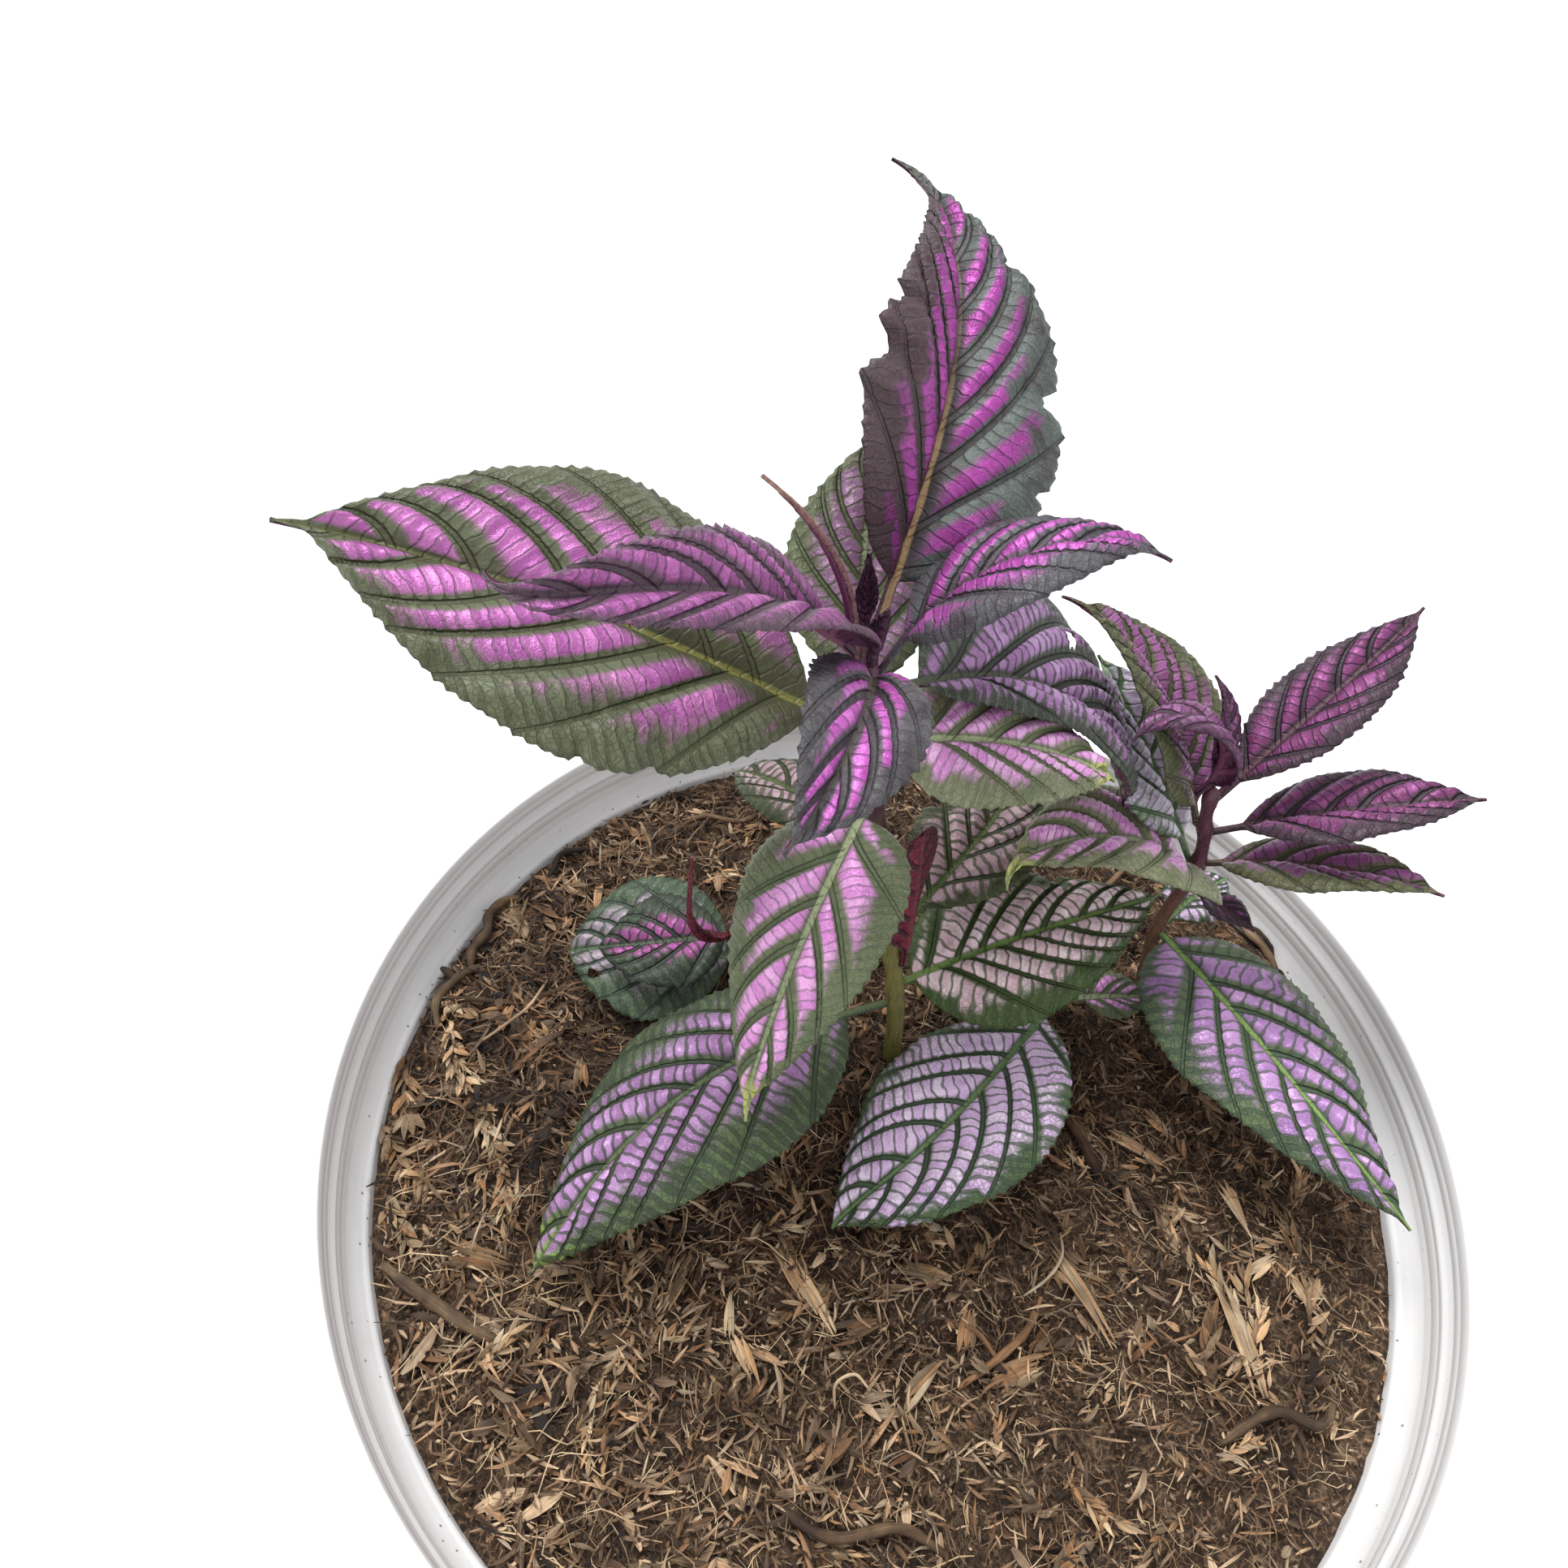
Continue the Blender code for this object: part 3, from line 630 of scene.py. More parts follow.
def bed_material(settings):
    """Peat and coir dust: dry and matt, with crumbs a millimetre wide and short fibres."""
    material, shader, node = new_material("peat_and_coir_dust")
    place = node("TexCoord").outputs["Object"]
    crumbs = node("TexNoise", {"Vector": place, "Scale": 1 / (1.3 * MM), "Detail": 6, "Roughness": 0.75})
    clods = node("TexNoise", {"Vector": place, "Scale": 1 / (7 * MM), "Detail": 4})
    # Short fibres lie every way: thin lines between cells that noise pulls out of shape
    pulled = node("VectorMath", [clods.outputs["Color"], (0.012, 0.012, 0)], operation="MULTIPLY")
    pulled = node("VectorMath", [pulled, place], operation="ADD")
    lines = node("TexVoronoi", {"Vector": pulled, "Scale": 1 / (2.6 * MM)}, feature="DISTANCE_TO_EDGE")
    lines = node("MapRange", [lines, 0.02, 0.10, 0.14, 0], **SOFT)
    tone = node("Math", [clods, 0.4, lines], operation="MULTIPLY_ADD")
    tone = node("Math", [crumbs, 0.8, tone], operation="MULTIPLY_ADD")
    tint = node("ValToRGB", [tone])
    set_stops(tint, [(0.46, linear("1C130C")), (0.86, linear("A08468")), (0.64, (*settings.dust, 1))])
    bump = node("Bump", {"Height": tone, "Strength": 1, "Distance": 1.6 * MM})
    connect(material, shader, {"Base Color": tint, "Normal": bump, "Roughness": 0.95})
    return material


def shred_material(name, tones, streak):
    """Bark, husk and coir, torn along the grain: matt, streaked, from black-brown to straw."""
    material, shader, node = new_material(name)
    place = node("TexCoord").outputs["Object"]
    grain = node("Attribute", attribute_name="grain").outputs["Vector"]
    split = node("SeparateXYZ", [grain])
    # Damp and peat darken the mix in patches about 9 mm wide
    damp = node("TexNoise", {"Vector": place, "Scale": 1 / (9 * MM), "Detail": 4})
    damp = node("MapRange", [damp, 0.35, 0.65, -0.24, 0.12])
    tone = node("Math", [split.outputs[2], damp], operation="ADD")
    tint = node("ValToRGB", [tone])
    stops = [(i / (len(tones) - 1), linear(shade)) for i, shade in enumerate(tones)]
    set_stops(tint, [stops[0], stops[-1], *stops[1:-1]])
    # Some pieces are weathered grey and some rust-brown
    kind = node("Math", [split.outputs[2], TONE_TO_SEED], operation="MULTIPLY")
    kind = node("TexWhiteNoise", [kind], noise_dimensions="1D")
    hue = node("ValToRGB", [kind])
    set_stops(hue, [(0, linear("CDD2D8")), (1, linear("FFDCBC")), (0.5, linear("FFFAF4"))])
    tint = node("Mix", [1, tint, hue], data_type="RGBA", blend_type="MULTIPLY")
    # Grain is 0.3 mm wide and about 6 mm long, so the noise is squeezed across the shred
    along = node("VectorMath", [grain, (0.16, 3.2, 40)], operation="MULTIPLY")
    fibre = node("TexNoise", {"Vector": along, "Scale": 1, "Detail": 4})
    light = node("MapRange", [fibre, 0.3, 0.7, 1 - streak, 1 + 0.7 * streak])
    colour = node("VectorMath", [tint, light], operation="SCALE")
    bump = node("Bump", {"Height": fibre, "Strength": 0.7, "Distance": 0.3 * MM})
    connect(material, shader, {"Base Color": colour, "Normal": bump, "Roughness": 0.85})
    return material


def sliver_template(sides, cuts):
    """A bar from x = 0 to 1, one unit wide and high, cut into lengths."""
    form = bmesh.new()
    bmesh.ops.create_cone(form, cap_ends=True, segments=sides, radius1=0.5, radius2=0.5, depth=1)
    bmesh.ops.rotate(form, verts=form.verts[:], cent=(0, 0, 0), matrix=Matrix.Rotation(math.pi / 2, 3, "Y"))
    bmesh.ops.translate(form, verts=form.verts[:], vec=(0.5, 0, 0))
    long_edges = [e for e in form.edges if abs(e.verts[0].co.x - e.verts[1].co.x) > 0.5]
    bmesh.ops.subdivide_edges(form, edges=long_edges, cuts=cuts)
    bmesh.ops.recalc_face_normals(form, faces=form.faces[:])
    return plain_mesh(form, "sliver")


class Shreds(NamedTuple):
    """Arrays that describe many shreds, in mm and radians, one entry for each."""

    place: np.ndarray
    yaw: np.ndarray
    pitch: np.ndarray
    length: np.ndarray
    width: np.ndarray
    thickness: np.ndarray
    arch: np.ndarray
    curl: np.ndarray
    twist: np.ndarray
    tone: np.ndarray


def shred_mesh(name, template, shreds, blunt, wriggle):
    """One mesh with a copy of the template shaped for each shred; wriggle bends it to and fro."""
    x, y, z = points_of(template).T
    taper = np.clip(blunt + (1 - blunt) * np.sin(np.pi * np.clip(x, 0, 1) ** 0.8), 0.06, 1)
    length, width, thick = (a[:, None] for a in (shreds.length, shreds.width, shreds.thickness))
    side = y * width * taper
    high = z * thick * taper
    turn = shreds.twist[:, None] * (x - 0.5)
    bend = x - x * x
    sway = wriggle * shreds.twist[:, None] * np.sin(2 * np.pi * x) * length
    across = side * np.cos(turn) - high * np.sin(turn) + shreds.curl[:, None] * length * bend + sway
    above = side * np.sin(turn) + high * np.cos(turn) + shreds.arch[:, None] * length * bend
    ahead = (x - 0.5) * length
    pitch, yaw = shreds.pitch[:, None], shreds.yaw[:, None]
    level = ahead * np.cos(pitch) - above * np.sin(pitch)
    rise = ahead * np.sin(pitch) + above * np.cos(pitch)
    places = np.stack([level * np.cos(yaw) - across * np.sin(yaw),
                       level * np.sin(yaw) + across * np.cos(yaw), rise], 2) + shreds.place[:, None, :]
    mesh = copies(template, kept_in(places, WALL_GAP), name)
    tone = np.broadcast_to(shreds.tone[:, None], side.shape)
    point_field(mesh, "grain", np.stack([x * length + 13 * tone, side, tone], 2).reshape(-1, 3))
    return mesh


def loose_height(x, y):
    """Height in mm of the mix with its loose clumps, which are 5 to 10 mm wide."""
    share = np.minimum(np.hypot(x, y) / SOIL_RADIUS, 1)
    across = x + 3.1 * np.sin(y / 7.3 + 0.4) + 1.7 * np.sin(y / 3.1 + x / 9)
    along = y + 2.9 * np.sin(x / 6.1 + 2.1) + 1.6 * np.sin(x / 2.9 - y / 8)
    clump = (np.sin(across / 1.7) * np.sin(along / 1.5)
             + 0.6 * np.sin(across / 0.95 + 1.3) * np.sin(along / 0.9))
    # Clods lean on the wall at the right
    heap = 4.5 * np.exp(-((x - 114) / 20) ** 2 - ((y - 50) / 26) ** 2)
    return soil_height(x, y) + heap + CLUMP_HEIGHT * clump * (1 - share ** 8)


def lie_of(x, y):
    """Heading in radians in which most shreds lie near a place, as clumps settle together."""
    return 2.4 * np.sin(x / 11 + 1.4 * np.sin(y / 13)) + 2.1 * np.sin(y / 9 + 1.2 * np.sin(x / 15) + 2)


def kept_in(places, gap):
    """Places in mm, drawn toward the axis until they clear the planter's wall and ledge by a gap."""
    room = np.interp(places[..., 2], [FLOOR, LEDGE_FOOT, LEDGE_FOOT + LEDGE_DROP],
                     [inner_radius(FLOOR), inner_radius(LEDGE_FOOT), COLLAR_FOOT])
    share = np.minimum(1, (room - gap) / np.maximum(np.hypot(places[..., 0], places[..., 1]), 1))
    return places * np.stack([share, share, np.ones_like(share)], -1)


def scattered(draw, count, reach, lift, length, width, pitch, tone, order):
    """Shreds strewn evenly over the mix out to a radius; ranges are (low, high). Order is the
    share of them that lies with its neighbours."""
    radius = reach * np.sqrt(draw.random(count))
    turn = draw.uniform(0, 2 * math.pi, count)
    # The heap ends unevenly, a little short of the wall
    radius = np.minimum(radius, reach - 1.6 + 1.2 * np.sin(9 * turn) + 0.8 * np.sin(23 * turn))
    x, y = radius * np.cos(turn), radius * np.sin(turn)
    long = length[0] + (length[1] - length[0]) * draw.random(count) ** 1.6
    # Shreds are coarser at the left and a little finer in front of the shoots
    coarse = (1 + 0.25 * np.clip(-x / 90, -1, 1)
              - 0.08 * np.exp(-((x - 5) / 50) ** 2 - ((y + 55) / 34) ** 2))
    long = long * coarse
    height = loose_height(x, y) + draw.uniform(*lift, count)
    inside = np.clip((RIDGE_RADIUS - 3 - radius) / long, 0.2, 1)
    yaw = draw.uniform(0, 2 * math.pi, count)
    yaw = np.where(draw.random(count) < order, lie_of(x, y) + draw.normal(0, 0.3, count), yaw)
    # Near the wall a shred lies along it, as one that points at the wall would cross it
    yaw = np.where(inside < 0.55, turn + math.pi / 2 + draw.normal(0, 0.35, count), yaw)
    # In front of the shoots the tones are raised: painted light that lifts the shadow the plant casts
    # there, and the pieces there differ more; toward the left the tones are darker
    front = np.clip(-y / 50, 0, 1)
    shade = (tone[0] + 0.18 * front - 0.05 * np.clip(-x / 90, 0, 1)
             + draw.normal(0, tone[1], count) * (1 + 0.3 * front))
    return Shreds(np.stack([x, y, height], 1), yaw, draw.normal(0, pitch, count), long,
                  draw.uniform(*width, count) * coarse, draw.uniform(0.25, 0.6, count),
                  draw.normal(0, 0.2, count), draw.normal(0, 0.24, count), draw.normal(0, 1.1, count),
                  np.clip(shade, 0, 1))


def joined(groups):
    """Several sets of shreds as one."""
    return Shreds(*[np.concatenate(column) for column in zip(*groups)])


def husk(draw, route, tone, scale):
    """A torn husk: pointed scales that overlap along a route and stand off it to both sides."""
    path = smooth_path([(x, y, 0) for x, y in route], 6)
    run = run_of(path)
    count = max(7, round(run[-1] / 0.95))
    at = np.sort(draw.uniform(0, run[-1], count))
    slope = np.gradient(path[:, :2], axis=0)
    x, y, east, north = (np.interp(at, run, v) for v in (path[:, 0], path[:, 1], slope[:, 0], slope[:, 1]))
    side = np.where(np.arange(count) % 2, 1, -1)
    yaw = np.arctan2(north, east) + side * np.radians(draw.uniform(8, 42, count))
    long = scale * draw.uniform(0.65, 1.3, count)
    pitch = np.radians(draw.uniform(4, 30, count))
    x, y = x + 0.4 * long * np.cos(yaw), y + 0.4 * long * np.sin(yaw)
    height = loose_height(x, y) + 1.0 + 0.4 * long * np.sin(pitch)
    return Shreds(np.stack([x, y, height], 1), yaw, pitch, long, long * draw.uniform(0.16, 0.30, count),
                  draw.uniform(0.3, 0.5, count), draw.normal(0.04, 0.1, count),
                  side * draw.uniform(0, 0.2, count),
                  draw.normal(0, 0.5, count), np.clip(draw.normal(tone, 0.09, count), 0, 1))


def splinter(draw, x, y, heading, length, width, thickness, tone):
    """A splinter of bark: a bundle of thin parallel slivers that came apart a little."""
    count = max(3, round(width / 0.9))
    off = np.linspace(-0.4, 0.4, count) * width
    along = draw.uniform(-0.2, 0.1, count) * length
    # They draw together toward the far end
    yaw = math.radians(heading) - off / length * 0.8 + draw.normal(0, 0.02, count)
    east, north = math.cos(math.radians(heading)), math.sin(math.radians(heading))
    x, y = x + along * east - off * north, y + along * north + off * east
    height = loose_height(x, y).max() + 1.2 + draw.uniform(-0.3, 0.3, count) * thickness
    return Shreds(np.stack([x, y, height], 1), yaw, draw.normal(0.05, 0.03, count),
                  length * draw.uniform(0.65, 1.0, count), np.full(count, 1.7 * width / count),
                  thickness * draw.uniform(0.6, 1.1, count), np.full(count, 0.08),
                  draw.normal(0.06, 0.04, count),
                  draw.normal(0.2, 0.3, count), np.clip(draw.normal(tone, 0.05, count), 0, 1))


# Torn husks that the photograph shows: tone, length of a scale in mm, and route over the mix
HUSKS = [
    (0.84, 6.5, [(-116, 26), (-112, 12), (-106, 2)]), (0.78, 6.0, [(-108, 5), (-99, -8), (-92, -18)]),
    (0.70, 5.5, [(-96, -13), (-90, -24), (-88, -32)]), (0.62, 6.5, [(-124, 8), (-121, 0), (-117, -10)]),
    (0.60, 6.0, [(-124, -10), (-119, -16), (-114, -24)]),
    (0.58, 6.0, [(-119, -26), (-115, -31), (-110, -38)]), (0.64, 5.5, [(-98, 44), (-103, 52), (-110, 56)]),
    (0.66, 5.5, [(-84, 60), (-92, 66), (-98, 66)]), (0.60, 5.0, [(-80, 6), (-86, 0), (-88, -8)]),
    (0.64, 5.0, [(-72, -8), (-76, -14), (-75, -22)]), (0.78, 5.0, [(-58, -46), (-57, -38), (-60, -32)]),
    (0.86, 5.0, [(-32, -36), (-26, -32), (-20, -31)]), (0.82, 6.0, [(80, -50), (79, -42), (76, -35)]),
    (0.74, 5.0, [(70, -36), (68, -28), (71, -22)]), (0.62, 5.0, [(98, -32), (97, -24), (93, -18)]),
    (0.62, 5.0, [(94, -50), (97, -42), (95, -36)]), (0.78, 4.5, [(-8, -47), (-15, -47), (-22, -50)]),
    (0.66, 5.0, [(108, 30), (114, 36), (115, 43)]),
]

# Splinters and chips: (x, y, heading in degrees, length, width, thickness, tone)
SPLINTERS = [
    (-17, -46, 306, 22, 3.2, 0.9, 0.90), (-21, -42, 300, 13, 2.2, 0.8, 0.84),
    (79, -51, 278, 25, 4.0, 1.0, 0.80), (45, -46, 298, 22, 2.4, 1.0, 0.74),
    (42, -40, 300, 14, 1.8, 0.9, 0.68), (-90, -42, 350, 16, 4.4, 1.6, 0.46),
    (-6, -52, 20, 10, 3.6, 1.0, 0.60), (-14, -46, 60, 7, 3.0, 1.0, 0.62), (30, -59, 25, 15, 4.6, 1.2, 0.68),
    (65, -9, 325, 15, 2.4, 1.0, 0.68), (-58, -56, 15, 9, 3.2, 1.0, 0.48), (50, -6, 285, 14, 2.6, 1.2, 0.24),
    (84, -22, 290, 13, 2.4, 0.9, 0.82), (88, -34, 30, 12, 2.2, 0.8, 0.84),
    (72, -22, 350, 13, 1.6, 0.7, 0.86), (-99, 20, 75, 9, 2.4, 0.8, 0.76), (-76, 4, 100, 9, 2.6, 0.9, 0.72),
    (-60, -30, 70, 12, 1.6, 0.8, 0.80), (-46, -46, 60, 10, 1.8, 0.8, 0.76),
    (18, -52, 80, 10, 2.8, 0.9, 0.70), (8, -62, 45, 12, 2.6, 0.9, 0.74),
    (-30, -60, 300, 11, 2.2, 0.8, 0.78), (-34, -50, 90, 10, 1.6, 0.8, 0.82),
    (104, -12, 60, 12, 2.6, 0.9, 0.62), (24, -22, 10, 16, 3.2, 1.2, 0.54),
    (10, -40, 350, 12, 3.6, 1.1, 0.58), (-110, -26, 280, 14, 2.6, 1.0, 0.58),
]
# Sticks and roots that lie on the mix: radius in mm, tone, and (x, y, height over the mix)
STICKS = [
    (1.5, 0.42, [(-114, -43, 1), (-106, -48, 2.4), (-98, -52, 2.6), (-90, -56, 2), (-83, -58, 0)]),
    (1.4, 0.40, [(-104, 61, 0), (-108, 58, 3), (-111, 52, 4), (-110, 46, 4), (-113, 40, 3), (-112, 34, 1)]),
    (0.9, 0.05, [(-86, 80, 0), (-90, 78, 3), (-95, 76, 3), (-96, 70, 3), (-99, 65, 0)]),
    (1.1, 0.30, [(-120, 34, 4), (-117, 32, 3), (-113, 28, 0)]),
    (1.2, 0.52, [(-110, 36, 1), (-115, 31, 3), (-119, 24, 3), (-117, 17, 1)]),
    (0.7, 0.22, [(-120, 27, 1), (-114, 25, 2.4), (-105, 24, 2.4), (-96, 24, 1)]),
    (0.45, 0.80, [(-90, 31, 3), (-93, 22, 4), (-98, 16, 4), (-105, 12, 2)]),
    (0.9, 0.56, [(15, -63, 1.4), (24, -57, 2.6), (31, -51, 2.6), (35, -44, 1)]),
    (0.7, 0.54, [(24, -57, 2), (20, -52, 2.6), (15, -50, 1)]),
    (1.2, 0.62, [(103, 78, 0.5), (103, 73, 2.4), (105, 67, 4), (108, 62, 4.6), (110, 58, 4.6), (114, 54, 4),
                 (118, 51, 3), (122, 49, 0.6)]),
    (0.6, 0.22, [(102, 70, 2), (105, 68, 4.5), (106, 67, 6), (109, 66, 6), (109, 62, 4)]),
    (0.6, 0.20, [(109, 64, 4), (112, 61, 5.6), (115, 58, 5.6), (116, 55, 5), (117, 51, 2)]),
    (0.7, 0.30, [(109, 56, 0.5), (109, 52, 2.4), (111, 51, 3), (113, 49, 3), (117, 47, 3), (119, 43, 1)]),
    (1.3, 0.14, [(47, 0, 1), (49, -5, 3), (51, -11, 2.6), (53, -15, 0)]),
    (0.35, 0.98, [(-11, -68, 2), (-11, -64, 4), (-7, -62, 4), (-4, -64, 2)]),
    (0.35, 0.94, [(41, -30, 3), (40, -36, 4.4), (36, -41, 4), (31, -44, 2)]),
    (0.3, 0.90, [(8, -20, 2), (16, -24, 3.4), (22, -22, 3), (28, -26, 1)]),
    (0.4, 0.86, [(-66, -20, 2), (-60, -24, 3.4), (-56, -32, 3), (-50, -34, 1)]),
    (1.1, 0.30, [(-24, -84, 1), (-12, -90, 3), (2, -88, 2.4), (12, -92, 0)]),
    (0.9, 0.36, [(60, 66, 1), (70, 74, 3), (78, 84, 2), (80, 92, 0)]),
    (0.9, 0.40, [(-64, 84, 1), (-54, 92, 3), (-42, 92, 2.4), (-34, 98, 0)]),
    (1.2, 0.36, [(70, -70, 1), (82, -64, 3), (92, -66, 2.4), (98, -60, 0)]),
]


class MixSettings(PropertyGroup):
    """Make-up of the potting mix."""

    seed: IntProperty(name="Seed", description="Start of the random draw", default=11)
    shreds: IntProperty(name="Shreds", description="Number of thin torn shreds", default=7000)
    chips: IntProperty(name="Chips", description="Number of flat bark chips", default=700)
    crumbs: IntProperty(name="Crumbs", description="Number of small bits between the shreds", default=9000)
    fibres: IntProperty(name="Fibres", description="Number of coir fibres", default=4800)
    husks: IntProperty(name="Husks", description="Number of torn husks", default=200)
    dust: FloatVectorProperty(name="Dust", description="Colour of the fine mix", subtype="COLOR", size=3,
                              default=linear("543E2C")[:3])


def lay(name, sides, cuts, shreds, material, blunt, wriggle=0.0):
    """Make a piece of the mix from shreds that have so many sides and cuts."""
    mesh = shred_mesh(name, sliver_template(sides, cuts), shreds, blunt, wriggle)
    finish_piece(name, mesh, [material])


class PLANT_OT_mix(Operator):
    """Lay the bed of fine mix, and strew shreds, husks, fibres and sticks over it"""

    bl_idname = "plant.mix"
    bl_label = "Potting mix"

    rings = 64
    turns = 220

    def bed(self, settings):
        """The body of the mix: a disc with crumbs, a side and a flat underside."""
        form = bmesh.new()
        bmesh.ops.create_grid(form, x_segments=self.rings + 2, y_segments=self.turns, size=0.5)
        edge = SOIL_RADIUS - 0.2
        for vertex in form.verts:
            step = round((vertex.co.x + 0.5) * (self.rings + 2))
            turn = (vertex.co.y + 0.5) * 2 * math.pi
            radius = edge * min(step / self.rings, 1)
            x, y = radius * math.cos(turn), radius * math.sin(turn)
            height = float(loose_height(x, y)) - 1.0
            spot = Vector((x, y, 0))
            height += 0.8 * noise.noise(spot / 5) + 0.7 * noise.noise(spot / 2.3)
            if step > self.rings:
                height = SOIL_EDGE_HEIGHT - 14
            if step == self.rings + 2:
                x = y = 0
            vertex.co = (x * MM, y * MM, height * MM)
        bmesh.ops.remove_doubles(form, verts=form.verts[:], dist=0.02 * MM)
        finish_piece("mix_bed", mesh_of(form, "mix_bed"), [bed_material(settings)], ["soil"])

    def execute(self, context):
        settings = context.scene.mix
        draw = np.random.default_rng(settings.seed)
        self.bed(settings)
        bark = shred_material("torn_bark", ["1B120C", "463528", "735D48", "A0886E", "CEB99C"], 0.5)
        straw = shred_material("torn_husk_and_straw", ["241911", "55422F", "856D50", "B2997A", "E0CBA8"],
                               0.45)
        coir = shred_material("coir_fibre", ["281B12", "503D2C", "7A644C", "A68E70", "D6C6A6"], 0.15)
        reach = SOIL_RADIUS - 0.3
        shreds = scattered(draw, settings.shreds, reach - 1, (-0.1, 2.3), (2.5, 9.5), (0.35, 1.15), 0.34,
                           (0.53, 0.24), 0.6)
        lay("mix_shreds", 3, 2, shreds, bark, 0.22)
        chips = scattered(draw, settings.chips, reach - 3, (-0.4, 1.6), (4, 11), (1.1, 2.4), 0.26,
                          (0.48, 0.22), 0.5)
        lay("mix_chips", 4, 3, chips, bark, 0.34)
        crumbs = scattered(draw, settings.crumbs, reach, (-0.2, 1.2), (0.8, 2.8), (0.4, 1.2), 0.5,
                           (0.44, 0.25), 0)
        crumbs = crumbs._replace(thickness=crumbs.width * 0.8)
        lay("mix_crumbs", 3, 1, crumbs, bark, 0.5)
        torn = [husk(draw, route, tone, scale) for tone, scale, route in HUSKS]
        for _ in range(settings.husks):
            radius = (reach - 9) * math.sqrt(draw.random())
            turn, heading, long = draw.uniform(0, 6.28), draw.uniform(0, 6.28), draw.uniform(3.5, 8)
            x, y = radius * math.cos(turn), radius * math.sin(turn)
            bend = draw.uniform(-0.3, 0.3) * long
            east, north = math.cos(heading), math.sin(heading)
            route = [(x - long * east, y - long * north), (x - bend * north, y + bend * east),
                     (x + long * east, y + long * north)]
            torn.append(husk(draw, route, draw.normal(0.52, 0.14), draw.uniform(2.6, 5.2)))
        torn += [splinter(draw, *each) for each in SPLINTERS]
        lay("mix_husks", 4, 3, joined(torn), straw, 0.14)
        fibres = scattered(draw, settings.fibres, reach - 4, (0.0, 2.4), (3, 15), (0.16, 0.32), 0.22,
                           (0.60, 0.24), 0.35)
        fibres = fibres._replace(thickness=fibres.width, curl=draw.normal(0, 0.5, settings.fibres))
        lay("mix_fibres", 3, 3, fibres, coir, 0.6, 0.09)
        self.sticks(straw)
        return {"FINISHED"}

    def sticks(self, material):
        """Sticks and roots, each swept along its own route."""
        form = bmesh.new()
        rows = []
        sides = 8
        for radius, tone, route in STICKS:
            path = smooth_path([(x, y, float(soil_height(x, y)) + lift) for x, y, lift in route], 6)
            path = kept_in(path, radius + WALL_GAP)
            share = np.linspace(0, 1, len(path))
            girth = (radius * (1 - 0.45 * np.abs(2 * share - 1) ** 3)
                     * (1 + 0.12 * np.sin(share * 31 + radius * 9)))
            sweep(form, path, girth, sides)
            slope = np.gradient(path[:, :2], axis=0)
            slope /= np.linalg.norm(slope, axis=1)[:, None]
            row = np.column_stack([run_of(path) + 17 * radius, path[:, :2], -slope[:, 1], slope[:, 0],
                                   np.full(len(path), tone)])
            rows.append(np.repeat(row, sides, axis=0))
        mesh = mesh_of(form, "mix_sticks")
        run, x, y, east, north, tone = np.concatenate(rows).T
        spots = points_of(mesh) / MM
        across = (spots[:, 0] - x) * east + (spots[:, 1] - y) * north
        point_field(mesh, "grain", np.stack([run, across, tone], 1))
        finish_piece("mix_sticks", mesh, [material])


# Stems

def stem_material(name, low, high, blend_low, blend_high):
    """Green wood that is still soft: ridged lengthwise, waxy, purple where it is youngest."""
    material, shader, node = new_material(name)
    place = node("TexCoord").outputs["Object"]
    split = node("SeparateXYZ", [place])
    height = node("MapRange", [split.outputs[2], blend_low * MM, blend_high * MM, 0, 1], **SOFT)
    # Ridges about half a millimetre apart that run up the stem
    drawn = node("Mapping", {"Vector": place, "Scale": (1 / (0.5 * MM), 1 / (0.5 * MM), 1 / (14 * MM))})
    ridges = node("TexNoise", {"Vector": drawn, "Scale": 1, "Detail": 3})
    blotch = node("TexNoise", {"Vector": place, "Scale": 1 / (5 * MM), "Detail": 3})
    age = node("Math", [blotch, 0.6, -0.3], operation="MULTIPLY_ADD")
    age = node("Math", [age, height], operation="ADD", use_clamp=True)
    colour = node("Mix", [age, linear(low), linear(high)], data_type="RGBA")
    light = node("MapRange", [ridges, 0.3, 0.7, 0.7, 1.3])
    shaded = node("VectorMath", [colour, light], operation="SCALE")
    bump = node("Bump", {"Height": ridges, "Strength": 0.5, "Distance": 0.3 * MM})
    connect(material, shader, {"Base Color": shaded, "Normal": bump, "Roughness": 0.5})
    return material


# Stem colours: foot, top, and the heights in mm between which the one turns into the other
STEM_FINISHES = {
    "main": ("6E6A34", "4A2238", 232, 275),
    "right": ("6A4C38", "56303C", 200, 232),
    "left": ("5A6038", "54303E", 184, 200),
    "low": ("5C5A34", "4A2C38", 180, 196),
}


class StemSettings(PropertyGroup):
    """Make-up of the stems."""

    sides: IntProperty(name="Sides", description="Facets round a stem", default=20, min=8)
    swelling: FloatProperty(name="Swelling", description="How far a stem swells where leaves grow",
                            subtype="DISTANCE", default=0.7 * MM)
    hairs: FloatProperty(name="Hairs", description="Hairs for each millimetre of stem", default=7)
    seed: IntProperty(name="Seed", description="Start of the random draw for the hairs", default=5)


